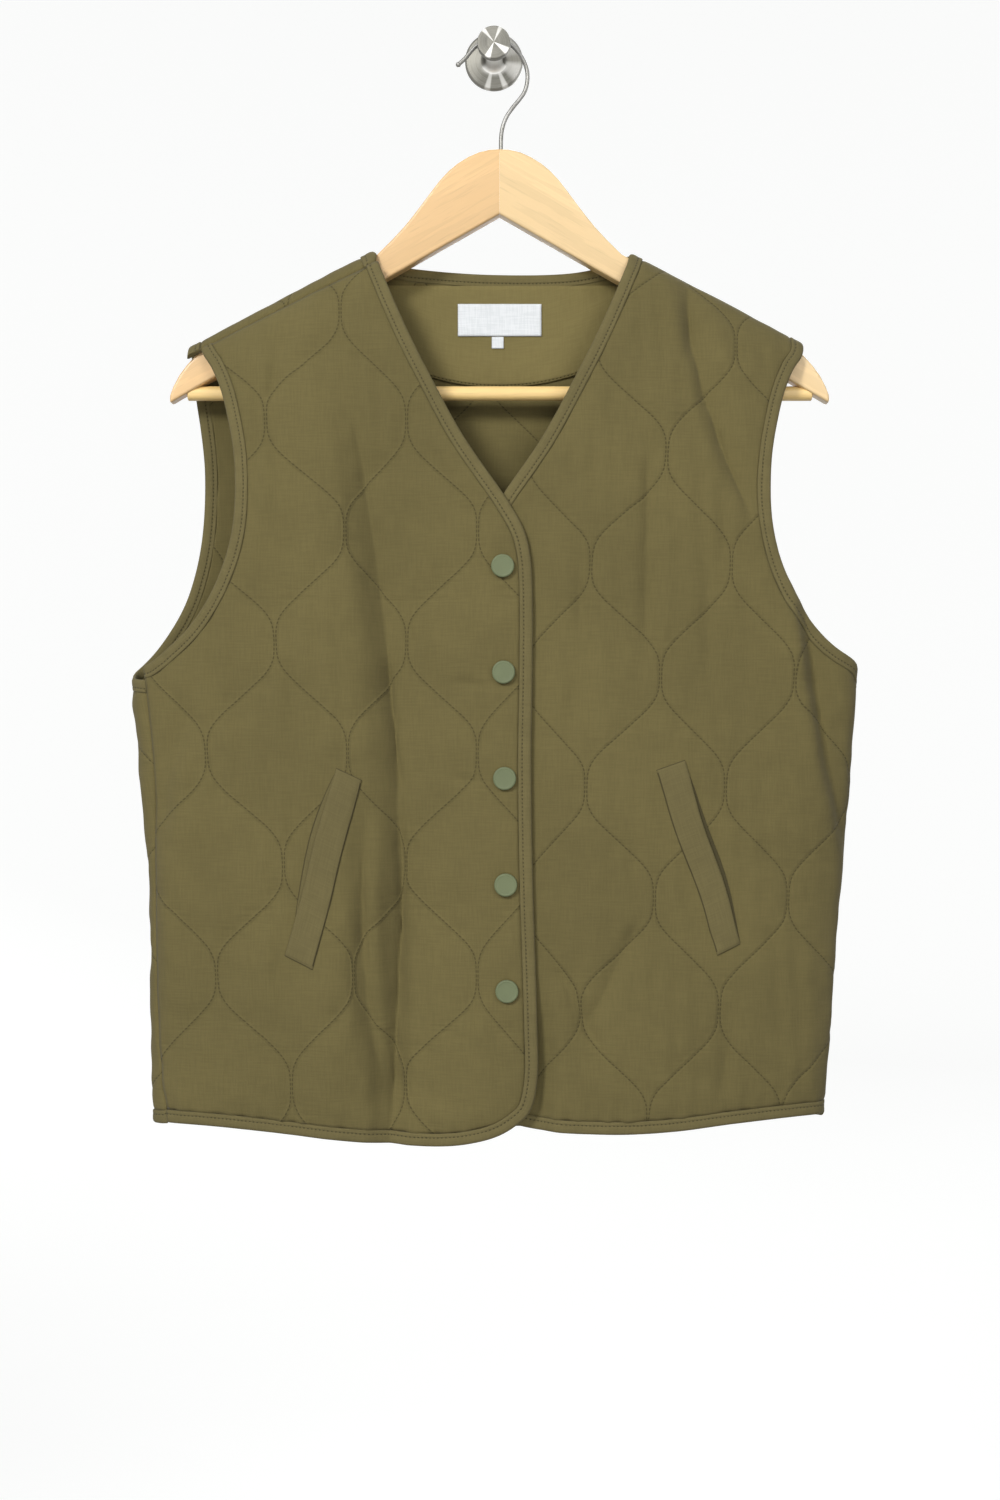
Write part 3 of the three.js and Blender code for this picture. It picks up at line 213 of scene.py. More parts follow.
# Folds and creases, each a line from its top to its bottom, bowed sideways; left and right are the
# widths to either side of the line, and sharp is 1 where the line is a crease and 0 where it is round
FOLDS = table(
    "back x1 z1 x2 z2 bow left right sharp rise",
    (0, -106, -180, -70, -750, 21.5, 19, 88, 0.8, -13.0),
    (0, -60, -545, -70, -752, 1, 46, 14, 0.5, -8.0),
    (0, -120, -220, -106, -750, 8, 26, 26, 0, 2.0),
    (0, -80, -480, -75, -705, -9, 14, 9, 0.7, -6.6),
    (0, -73, -385, -59, -515, 0, 10, 5, 0.8, -3.2),
    (0, -60, -500, -59, -612, 0, 9, 5, 0.7, -2.8),
    (0, 122, -140, 176, -332, -10, 9, 20, 0.85, -8.0),
    (0, 128, -90, 129.5, -218, 0, 8, 18, 0.85, -6.5),
    (0, 100, -195, 140, -345, -4, 20, 20, 0, 1.6),
    (0, 100.5, -255, 100, -422, 0, 8, 14, 0.8, -3.6),
    (0, 193, -335, 242, -590, -8, 44, 7, 0.85, 10.0),
    (0, 201, -340, 250, -590, -8, 8, 28, 0.6, -7.0),
    (0, 224, -548, 219, -700, 0, 16, 14, 0.2, -1.8),
    (0, -200, -438, -220, -530, -3, 15, 12, 0.7, -4.4),
    (0, -196, -440, -216, -650, -7, 14, 26, 0.5, 4.0),
    (0, 99, -575, 59, -660, 0, 10, 10, 0.7, -3.0),
    (0, 34, -602, 74, -676, 0, 9, 11, 0.7, -3.2),
    (0, 163, -615, 148, -712, 0, 12, 11, 0.4, -2.2),
    (0, -136, -178, -155, -250, 3, 9, 12, 0.4, -2.0),
    (0, 143, -325, 139, -450, 0, 9, 12, 0.5, -2.0),
    (0, 58, -325, 54, -475, 0, 9, 12, 0.5, -2.0),
    (0, 76, -300, 70, -560, 3, 14, 14, 0, 0.9),
    (0, -33, -427, 0, -431, 2, 6, 5, 0.6, -1.6),
    (0, -30, -487, -6, -492, -2, 6, 5, 0.5, -1.3),
    (0, -3, -650, 9, -696, 0, 11, 7, 0.4, -1.8),
    (0, -48, -705.5, -4, -704.5, 0, 3.5, 3.5, 1, -0.5),
    (0, -29, -702, -29.5, -728, 0, 3.5, 3.5, 1, -0.6),
    (0, -62, -712, -61, -740, 0, 4, 4, 0.8, -0.7),
    (0, 80, -698, 76, -722, 0, 4, 4, 0.8, -0.7),
    (0, 60, -620, 66, -745, 0, 16, 16, 0, -1.4),
    (0, -120, -448, -108, -468, 0, 5, 5, 0.6, -0.8),
    (0, 128, -578, 152, -604, 0, 6, 6, 0.7, -1.0),
    (0, -150, -560, -176, -640, 0, 20, 20, 0, -1.2),
    (0, -186, -300, -160, -420, 0, 22, 22, 0, 0.9),
    (1, -96, -230, -112, -745, 6, 26, 20, 0.3, -3.4),
    (1, -20, -300, 8, -745, -5, 22, 28, 0.2, -2.8),
    (1, 88, -240, 104, -745, -5, 20, 26, 0.4, -3.6),
    (1, 176, -300, 150, -470, 6, 12, 18, 0.5, -2.2),
    (1, -180, -330, -150, -500, -5, 16, 12, 0.5, -2.2),
)

# Shares of a fold's length over which it grows and fades; one that ends below the hem doesn't fade
FOLD_ENDS = {"top": 0.32, "bottom": 0.25, "hem": -735.0}
# The folds are shallower at the hem, and the padding is pressed flat over the shoulder ridge
HEM_CALM = {"share": 0.5, "from": -690.0, "over": 30.0}
RIDGE_CALM = {"least": 0.2, "down_to": 42.0}

# Padding: how fast it rises from a stitch line, and the space that pressed places take round themselves
PUFF = {"reach": 8.5, "power": 1.4, "edge": 12.0}
PUCKER = {"rise": 0.2, "long": 2.6, "reach": 5.0}
EDGE_SEAM = {"deep": 0.75, "wide": 1.6}
HEM_RIPPLE = {"rise": 0.8, "long": 11.0, "reach": 9.0, "from": -650.0, "over": 30.0}
PRESSED = {"lap": (20.0, 16.0), "welt": (4.0, 10.0), "snap": (5.0, 14.0)}

# Lengths that the mesh cells of the panels are counted on
CELLS_ON = {"low": 290.0, "front_high": 240.0, "back_high": 230.0, "front": 240.0, "back": 500.0}
NECK_SHARE = 0.22
NORMAL_STEP = 4.0
CURVE_STEPS = 24

BINDING_UNDERSIDE = 20.0
BINDING_STITCH = 2.4

LAP = {"from": -50.0, "full": -17.0, "top": -228.0, "settled": -292.0, "over": 3.0, "under": 1.2}
# Where the under front falls away from the over front, near the hem
HOLLOW = {"x": 31.0, "wide": 14.0, "top": -615.0, "full": -675.0, "deep": 5.4}
SNAPS = {"count": 5, "top": -350.4, "pitch": 69.7, "lean": 0.75, "radius": 7.6}
WELTS = {
    "right": {
        "seam": ((93.1, -490.8), (124.7, -615.6)),
        "open": ((109.2, -483), (143.4, -606.5)),
        "bow": 0.8,
    },
    "left": {
        "seam": ((100.6, -484.3), (140.9, -606.5)),
        "open": ((119.4, -477.7), (156, -598.9)),
        "bow": -1.5,
    },
}
WELT_PATTERN = {"long": 128.0, "wide": 17.0, "end": 40.0}
MOUTHS = {
    "right": {"down": (0.03, 0.8), "wide": 0.22, "pattern": 3.6},
    "left": {"down": (0.08, 0.985), "wide": 0.15, "pattern": 0.55},
}
# A welt's heights: sunk and raised at its seams, with a crown between them, and gaping at its open edge
WELT_HEIGHT = {"sunk": 0.7, "raised": 0.5, "crown": 0.6, "edge": 0.3, "gape": 1.5, "gape_under": 1.2}
WELT_EDGE = {"end": 2.2, "seam": 2.5, "fold": 0.55, "fold_from": 0.86}
MOUTH_HEIGHT = {"sunk": 0.9, "raised": 0.45, "lens": 0.55}
LENS_POWER = 0.7
# The facing's shade makes the cloth colour lighter: painted light that makes up for the shade the facing lies
# in inside the back
FACING = {"half": 128.0, "top": -163.0, "bottom": -224.0, "rise": 0.0031, "below": 15.0, "shade": 1.34}
LABELS = {
    "label": {"left": -24.6, "right": 32.3, "top": -167.5, "bottom": -189.4, "columns": 40, "rows": 16},
    "label_tab": {"left": -1.5, "right": 6.6, "top": -189.9, "bottom": -197.8, "columns": 10, "rows": 10},
}
# Inside the back: how far in from the cloth a sheet's near face lies, how thick it is, and its stitch row
INSIDE = {"facing": {"in": 0.5, "thick": 1.2, "stitch": 1.2}, "label": {"in": 2.1, "thick": 0.6}}

# Hanger arm: distance out from the middle, top edge and bottom edge
HANGER_ARM = table(
    "out top bottom",
    (0, -67.6, -111.5),
    (7, -68.1, -115.5),
    (14, -69.8, -119.5),
    (21, -72.9, -123.5),
    (28, -77.2, -127.5),
    (34, -82.2, -130.9),
    (40, -88.6, -134.3),
    (46, -96.4, -137.8),
    (52, -104.5, -141.2),
    (58, -112.4, -144.6),
    (64, -119.8, -148.1),
    (72, -128.4, -152.6),
    (82, -138.3, -158.3),
    (110, -153.3, -174.4),
    (140, -169.2, -191.6),
    (170, -185.3, -208.8),
    (195, -198.6, -223.2),
    (204, -206.2, -228.3),
    (210, -212.8, -231.8),
    (215, -219.6, -234.6),
    (219, -227.2, -237),
    (221.3, -233.4, -238.2),
)
HANGER = {"thick": 13.0, "joint": 0.06, "bevel": 3.2, "grain_turn": 29.7, "grain_shift": 13.0}
ARM_TONES = {"right": (1.0, 1.0, 1.0), "left": (1.07, 1.18, 1.3)}
ARM_SHADES = (0.97, 1.1)
BAR = {"radius": 4.9, "z": -231.0, "from": -206.0, "to": 214.0, "play": 0.3, "bevel": 0.5, "rings": 12}
# The bar's wood is paler and yellower than the arms', and is also painted lighter as light for the shade that
# the fronts cast on it
BAR_TONE_AND_PAINTED_LIGHT = (1.3, 1.4, 1.2)
WIRE_RADIUS = 1.4
WIRE_BALL_RADIUS = 1.75
WIRE_ROUTE = table(
    "x z",
    (4.8, -68.5),
    (4.8, -60),
    (5.6, -52.8),
    (8.3, -45),
    (12.8, -38.2),
    (17.4, -32.6),
    (20.6, -27.8),
    (22.4, -21.5),
    (22.5, -14.5),
    (20.6, -8),
    (16.9, -1.6),
    (11.5, 4),
    (5.9, 7.1),
    (0, 8),
    (-5.9, 7),
    (-11.5, 3.6),
    (-15.6, -0.6),
    (-19.8, -5.6),
    (-24, -9.3),
)
# Turned profile of the wall hook: radius and distance from the wall
WALL_HOOK = table(
    "radius out",
    (19.8, 0),
    (19.8, 2.4),
    (19.2, 3.1),
    (18.2, 3.5),
    (9.4, 4.3),
    (7.6, 5.6),
    (6.6, 8),
    (6.2, 12),
    (6.2, 33.5),
    (7.4, 34.8),
    (10.2, 35.4),
    (11, 36.2),
    (11, 41.4),
    (10.7, 41.9),
    (10.2, 42),
)
# Painted highlights: bright rays painted into the brushed steel's colour where the lamps and the stage would
# reflect, between two distances from the wall, at a turn and width in degrees
STEEL_PAINTED_GLEAMS = table(
    "near far turn wide gain",
    (40.8, 44, 130, 10, 0.45),
    (40.8, 44, 66, 10, 0.4),
    (40.8, 44, -34, 17, 0.8),
    (40.8, 44, -113, 14, 0.65),
    (4.6, 34.6, -90, 75, 0.9),
    (4.6, 34.6, -134, 20, 0.3),
    (4.6, 34.6, -40, 22, 0.6),
    (-1, 5, -104, 8, 0.4),
    (-1, 5, -66, 8, 0.45),
    (-1, 5, -25, 26, 0.3),
    (-1, 5, 40, 30, 0.18),
)
# Soft edge of the zones of the painted highlights, in millimetres
PAINTED_GLEAM_EDGE = 0.5
# Turned profile of a snap cap: radius and height
SNAP_CAP = table(
    "radius out",
    (6.9, 0),
    (7.5, 0.25),
    (7.6, 0.8),
    (7.6, 1.6),
    (7.4, 2.15),
    (6.95, 2.44),
    (6.5, 2.5),
    (6.2, 2.44),
    (5.95, 2.36),
    (5.6, 2.34),
)


def length_setting(name, description, default, low, high):
    """A length in millimetres that a user may change."""
    return bpy.props.FloatProperty(
        name=name, description=f"{description}, in millimetres", default=default, min=low, max=high
    )


def colour_setting(name, description, default):
    return bpy.props.FloatVectorProperty(
        name=name, description=description, subtype="COLOR", size=3, default=default
    )


class VestSizes(bpy.types.PropertyGroup):
    cell: length_setting("Mesh cell", "Size of a mesh cell of the quilted cloth", 2.5, 1.5, 10)
    wall: length_setting("Stitched thickness", "Thickness of the cloth where it is stitched", 2.4, 1, 6)
    puff: length_setting("Puff", "Rise of the padding between the stitch lines", 1.1, 0, 6)
    binding: length_setting("Binding width", "Width of the bias tape on the edges", 8, 4, 20)
    stitch: length_setting("Stitch length", "Length of one quilting stitch", 2.9, 1, 8)


class VestColours(bpy.types.PropertyGroup):
    cloth: colour_setting("Cloth", "Colour of the quilted cloth", (0.132, 0.108, 0.04))
    binding: colour_setting("Binding", "Colour of the bias tape", (0.138, 0.114, 0.046))
    snap: colour_setting("Snap caps", "Colour of the snap caps", (0.118, 0.14, 0.066))
    wood: colour_setting("Wood", "Main colour of the hanger", (0.665, 0.432, 0.198))
    stage: colour_setting("Stage", "Colour of the floor and backdrop", (0.92, 0.925, 0.92))


def sizes():
    return bpy.context.scene.vest_sizes


def colours():
    return bpy.context.scene.vest_colours


# The drape: flat places on a panel and where they hang

OTHER = {"front": "back", "back": "front"}
OUTWARD = {"front": -1.0, "back": 1.0}
SIDE = {"right": -1.0, "left": 1.0}
SEAM = 0.05


def smooth(value):
    value = np.clip(value, 0, 1)
    return value * value * (3 - 2 * value)


def column(rows, key, name):
    """A smooth curve through one column of a table whose key rises from row to row."""
    keys, values = rows[key], rows[name]
    before = np.r_[0, np.arange(len(keys) - 1)]
    after = np.r_[np.arange(1, len(keys)), len(keys) - 1]
    slope = (values[after] - values[before]) / (keys[after] - keys[before])

    def at(place):
        place = np.clip(np.asarray(place, dtype=float), keys[0], keys[-1])
        i = np.clip(np.searchsorted(keys, place, side="right") - 1, 0, len(keys) - 2)
        span = keys[i + 1] - keys[i]
        t = (place - keys[i]) / span
        rise = t * t * (3 - 2 * t)
        bend = slope[i] * t * (1 - t) ** 2 - slope[i + 1] * t * t * (1 - t)
        return values[i] + (values[i + 1] - values[i]) * rise + span * bend

    return at


class Quarter:
    """A quarter superellipse by its own length: out runs from 0 to 1 while deep falls from 1 to 0."""

    def __init__(self, power, aspect):
        angle = np.linspace(0, math.pi / 2, 1601)
        self.out = np.sin(angle) ** (2 / power)
        self.deep = np.clip(np.cos(angle), 0, 1) ** (2 / power)
        steps = np.hypot(np.diff(self.out), np.diff(self.deep) * aspect)
        self.length = np.r_[0, np.cumsum(steps)]
        self.total = self.length[-1]

    def out_at(self, length):
        return np.interp(length, self.length, self.out)

    def deep_at(self, length):
        return np.interp(length, self.length, self.deep)

    def length_at(self, out):
        return np.interp(out, self.out, self.length)


HALF = {side: column(BODY, "z", side) for side in ("right", "left")}
DEPTH = {face: column(BODY, "z", face) for face in ("front", "back")}
RING = {"front": Quarter(SECTION_POWER["front"], 33 / 240), "back": Quarter(SECTION_POWER["back"], 17 / 240)}
ROLL = {
    "front": Quarter(SHOULDER_POWER["front"], 32 / SHOULDER_DROP["front"]),
    "back": Quarter(SHOULDER_POWER["back"], 17 / SHOULDER_DROP["back"]),
}
EXCESS = {face: (ROLL[face].total - 1) * SHOULDER_DROP[face] for face in ("front", "back")}


def half_at(c, z):
    return np.where(np.asarray(c) < 0, HALF["right"](z), HALF["left"](z))


def ridge(x):
    far = np.hypot(np.asarray(x, dtype=float) - SHOULDER_CENTRE, RIDGE["round"])
    near = math.hypot(RIDGE["neck_half"], RIDGE["round"])
    return RIDGE["at_neck"] - RIDGE["slope"] * (far - near)


def section(face, c, z):
    wide = half_at(c, z)
    past = np.abs(c) - RING[face].total * wide
    own = RING[face].out_at(np.abs(c) / wide)
    beyond = RING[OTHER[face]].out_at(RING[OTHER[face]].total - past / wide)
    out = np.where(past <= 0, own, beyond)
    return np.sign(c) * wide * out, out, past > 0


def fold_rise(back, x, z):
    """Sum of the folds of one face at points seen at x and z."""
    total = np.zeros_like(x)
    for on_back, x1, z1, x2, z2, bow, left, right, sharp, rise in zip(*FOLDS.values()):
        if bool(on_back) != back:
            continue
        long = math.hypot(x2 - x1, z2 - z1)
        t = ((x - x1) * (x2 - x1) + (z - z1) * (z2 - z1)) / long**2
        bowed = bow * np.sin(math.pi * np.clip(t, 0, 1))
        away = ((x - x1) * (z1 - z2) + (z - z1) * (x2 - x1)) / long - bowed
        share = np.clip(np.where(away < 0, -away / left, away / right), 0, 1)
        shape = sharp * (1 - share) ** 1.4 + (1 - sharp) * (1 - share**2) ** 2
        ends = smooth(t / FOLD_ENDS["top"])
        if z2 > FOLD_ENDS["hem"]:
            ends = ends * smooth((1 - t) / FOLD_ENDS["bottom"])
        total += shape * ends * rise
    return total * (1 - HEM_CALM["share"] * smooth((HEM_CALM["from"] - z) / HEM_CALM["over"]))


def lap_shift(layer, x, z):
    """How far forward one front lies where it laps over the other, or back where it lies under."""
    if layer == "back":
        return 0.0
    down = smooth((LAP["top"] - z) / (LAP["top"] - LAP["settled"]))
    across = x if layer == "right" else 2 * FRONT_CENTRE - x
    share = smooth((across - LAP["from"]) / (LAP["full"] - LAP["from"]))
    if layer == "right":
        return down * share * LAP["over"]
    low = smooth((HOLLOW["top"] - z) / (HOLLOW["top"] - HOLLOW["full"]))
    near = 1 - smooth((x - HOLLOW["x"]) / HOLLOW["wide"])
    return -down * share * LAP["under"] - HOLLOW["deep"] * low * near


def inner_face(panel, c, w):
    """Points of the cloth's inner face, from flat places: c across from x = 0, w up the cloth."""
    face, layer = panel
    c, w = np.broadcast_arrays(np.asarray(c, dtype=float), np.asarray(w, dtype=float))
    crest = ridge(section(face, c, w)[0])
    down = crest + EXCESS[face] - w
    over = down < 0
    far = np.abs(down)
    drop, share = np.zeros_like(c), np.zeros_like(c)
    for rolled, mask in ((face, ~over), (OTHER[face], over)):
        reach = ROLL[rolled].total * SHOULDER_DROP[rolled]
        length = (reach - far) / SHOULDER_DROP[rolled]
        free = far >= reach
        rolled_drop = np.where(
            free,
            SHOULDER_DROP[rolled] + far - reach,
            SHOULDER_DROP[rolled] * (1 - ROLL[rolled].out_at(length)),
        )
        rolled_share = np.where(free, 1.0, ROLL[rolled].deep_at(length))
        drop = np.where(mask, rolled_drop, drop)
        share = np.where(mask, rolled_share, share)
    z = crest - drop
    x, out, turned = section(face, c, z)
    on_back = (face == "back") ^ over ^ turned
    result = np.zeros(c.shape + (3,))
    y = np.zeros_like(c)
    for shown in ("front", "back"):
        power = SECTION_POWER[shown]
        side = np.clip(1 - out**power, 0, 1) ** (1 / power)
        rise = DEPTH[shown](z) + fold_rise(shown == "back", x, z)
        moved = HANG_Y + OUTWARD[shown] * (rise * side * share + lap_shift(layer, x, z))
        y = np.where(on_back == (shown == "back"), moved, y)
    result[..., 0], result[..., 1], result[..., 2] = x, y, z
    return result


def place(panel, c, w, t):
    """Points t out from the inner face, along a normal that is calm across the creases."""
    across = inner_face(panel, c + NORMAL_STEP, w) - inner_face(panel, c - NORMAL_STEP, w)
    up = inner_face(panel, c, w + NORMAL_STEP) - inner_face(panel, c, w - NORMAL_STEP)
    normal = np.cross(across, up)
    normal /= np.linalg.norm(normal, axis=-1, keepdims=True)
    if panel[0] == "back":
        normal = -normal
    return inner_face(panel, c, w) + normal * np.asarray(t, dtype=float)[..., None]


def flat(face, x, z):
    """The flat place of a point seen at x and z on one face."""
    wide = float(half_at(x, z))
    c = math.copysign(wide * float(RING[face].length_at(min(1, abs(x) / wide))), x)
    full = SHOULDER_DROP[face]
    drop = float(ridge(x)) - z
    if drop >= full:
        return (c, z)
    length = float(ROLL[face].length_at(min(1, max(0, 1 - drop / full))))
    return (c, float(ridge(x)) + EXCESS[face] - (ROLL[face].total - length) * full)


# Lines in the flat


def spline(points, spacing=2.0):
    """A centripetal curve through points, as evenly spaced places."""
    p = np.array(points, dtype=float)
    p = np.vstack([2 * p[0] - p[1], p, 2 * p[-1] - p[-2]])
    made = []
    for i in range(1, len(p) - 2):
        gaps = [math.sqrt(np.linalg.norm(p[k + 1] - p[k])) for k in (i - 1, i, i + 1)]
        chord = p[i + 1] - p[i]
        first = chord + gaps[1] * (
            (p[i] - p[i - 1]) / gaps[0] - (p[i + 1] - p[i - 1]) / (gaps[0] + gaps[1])
        )
        last = chord + gaps[1] * (
            (p[i + 2] - p[i + 1]) / gaps[2] - (p[i + 2] - p[i]) / (gaps[1] + gaps[2])
        )
        t = np.linspace(0, 1, CURVE_STEPS, endpoint=False)[:, None]
        rise = t * t * (3 - 2 * t)
        made.append(p[i] + chord * rise + first * t * (1 - t) ** 2 - last * t * t * (1 - t))
    made.append(p[-2][None])
    line = np.vstack(made)
    return resample(line, np.linspace(0, 1, max(2, round(lengths(line)[-1] / spacing)) + 1))


def lengths(line):
    return np.r_[0, np.cumsum(np.linalg.norm(np.diff(line, axis=0), axis=1))]


def resample(line, shares, values=None):
    """The line, or values along it, at shares of its length."""
    sums = lengths(line)
    columns = (line if values is None else values).T
    return np.stack([np.interp(shares * sums[-1], sums, column) for column in columns], axis=1)


def normals_of(line, towards):
    tangent = np.gradient(line, axis=0)
    tangent /= np.linalg.norm(tangent, axis=1, keepdims=True)
    return towards * np.stack([-tangent[:, 1], tangent[:, 0]], axis=1)


def up_to(line, tests):
    """The part of a line from its start to where its tests first turn positive."""
    for i in range(1, len(line)):
        if tests[i] >= 0 > tests[i - 1]:
            t = tests[i - 1] / (tests[i - 1] - tests[i])
            return np.vstack([line[:i], line[i - 1] + (line[i] - line[i - 1]) * t])
    return line


def split_at(line, w):
    i = int(np.argmax(line[:, 1] > w))
    t = (w - line[i - 1, 1]) / (line[i, 1] - line[i - 1, 1])
    middle = line[i - 1] + (line[i] - line[i - 1]) * t
    return np.vstack([line[:i], middle]), np.vstack([middle, line[i:]])


SIDE_SEAM_AT = {side: column(SIDE_SEAM, "z", side) for side in ("right", "left")}


def front_c(layer, across):
    return FRONT_CENTRE + SIDE[layer] * across


def front_side_c(layer, w):
    return front_c(layer, SIDE_SEAM_AT[layer](w) - SEAM / 2)


def back_side_c(layer, w):
    around = (RING["front"].total + RING["back"].total) * half_at(SIDE[layer], w)
    return SIDE[layer] * (around - np.abs(front_side_c(layer, w)) - SEAM)


def shoulder_w(face, layer, c):
    x = section(face, c, ridge(c))[0]
    out = np.abs(x - SHOULDER_CENTRE) - RIDGE["neck_half"]
    forward = SEAM_FORWARD[layer] - SEAM_TAPER * out / SHOULDER_LENGTH
    return ridge(x) + EXCESS[face] + OUTWARD[face] * forward - SEAM / 2


def past_ridge(face, x):
    """A flat place a little over the shoulder's ridge, for a line that the seam then cuts."""
    c = flat(face, x, float(ridge(x)) - 1)[0]
    return (c, float(ridge(x)) + EXCESS[face] + 20)


def back_centre(z):
    share = float(smooth((CENTRE_MOVES["from"] - z) / CENTRE_MOVES["over"]))
    return SHOULDER_CENTRE + (BACK_CENTRE - SHOULDER_CENTRE) * share


def cells(length):
    return max(2, round(length / sizes().cell))


def rows_between(low, high, low_count, high_count):
    low_part = resample(low, np.linspace(0, 1, low_count + 1))
    return np.vstack([low_part, resample(high, np.linspace(0, 1, high_count + 1))[1:]])


def coons(first, last, bottom, top):
    """A grid of flat places between four edges, as [row, column, 2]."""
    a = np.linspace(0, 1, len(bottom))[None, :, None]
    b = np.linspace(0, 1, len(first))[:, None, None]
    base = first[:, None] * (1 - a) + last[:, None] * a
    low = bottom[None] - (bottom[0] * (1 - a) + bottom[-1] * a)
    high = top[None] - (top[0] * (1 - a) + top[-1] * a)
    return base + (1 - b) ** 3 * low + b**3 * high


def edge_frames(line, towards, first, last):
    """Places and outward directions along a bound edge, squared to a seam at either end."""
    out = normals_of(line, towards)
    out[0], out[-1] = first, last
    return line, out


def unit(c, w):
    size = math.hypot(c, w)
    return (c / size, w / size)


def along_shoulder(face, layer, c, side):
    rise = float(shoulder_w(face, layer, c + side) - shoulder_w(face, layer, c))
    return unit(side, rise)


def along_side(side_at, w, up):
    return unit(float(side_at(w + up) - side_at(w)), up)


def front_shape(layer):
    """The grid and the bound edges of one front."""
    side = SIDE[layer]
    bind = sizes().binding + SEAM
    edge = [flat("front", front_c(layer, a), z) for z, a in zip(FRONT_EDGE["z"], FRONT_EDGE["across"])]
    hem = [flat("front", front_c(layer, a), z) for a, z in zip(FRONT_HEM["across"], FRONT_HEM[layer])]
    past_seam = (hem[0][0] + side * 12, hem[0][1])
    neck = past_ridge("front", SHOULDER_CENTRE + side * NECK_POINT)
    finished = spline([past_seam, *hem, *edge, neck])
    into = normals_of(finished, -side)
    cut = finished + into * bind
    corner = int(np.argmax((np.abs(into[:, 0]) >= CORNER["upright"]) & (cut[:, 1] < CORNER["under"])))
    hem_line = cut[: corner + 1]
    inside = (front_side_c(layer, hem_line[:, 1]) - hem_line[:, 0]) * side
    first_inside = int(np.argmax(inside > 0))
    t = inside[first_inside - 1] / (inside[first_inside - 1] - inside[first_inside])
    start = hem_line[first_inside - 1] + (hem_line[first_inside] - hem_line[first_inside - 1]) * t
    bottom = np.vstack([start, hem_line[first_inside:]])[::-1]
    near = up_to(cut[corner:], cut[corner:, 1] - shoulder_w("front", layer, cut[corner:, 0]))

    rows = zip(FRONT_ARMHOLE["z"], FRONT_ARMHOLE["across"])
    tip = past_ridge("front", SHOULDER_CENTRE + side * SHOULDER_POINT[layer])
    armhole = spline([*(flat("front", front_c(layer, a), z) for z, a in rows), tip])
    arm = armhole + normals_of(armhole, side) * bind
    arm = arm[(front_side_c(layer, arm[:, 1]) - arm[:, 0]) * side > 0]
    arm = up_to(arm, arm[:, 1] - shoulder_w("front", layer, arm[:, 0]))
    w = np.linspace(start[1], arm[0, 1], 60)
    side_line = np.stack([front_side_c(layer, w), w], axis=1)

    low, high = cells(CELLS_ON["low"]), cells(CELLS_ON["front_high"])
    near_low, near_high = split_at(near, arm[0, 1])
    first = rows_between(near_low, near_high, low, high)
    last = rows_between(side_line, arm, low, high)
    columns = cells(CELLS_ON["front"])
    bottom = resample(bottom, np.linspace(0, 1, columns + 1))
    c = np.linspace(first[-1, 0], last[-1, 0], columns + 1)
    top = np.stack([c, shoulder_w("front", layer, c)], axis=1)
    top[0], top[-1] = first[-1], last[-1]
    edge_line = np.vstack([bottom[1:][::-1], first])
    return {
        "panel": ("front", layer),
        "grid": coons(first, last, bottom, top),
        "edge": edge_frames(
            edge_line,
            side,
            first=along_side(lambda v: front_side_c(layer, v), edge_line[0, 1], -1),
            last=along_shoulder("front", layer, first[-1, 0], -side),
        ),
        "arm": edge_frames(
            last[low:],
            -side,
            first=along_side(lambda v: front_side_c(layer, v), last[low, 1], 1),
            last=along_shoulder("front", layer, last[-1, 0], side),
        ),
    }


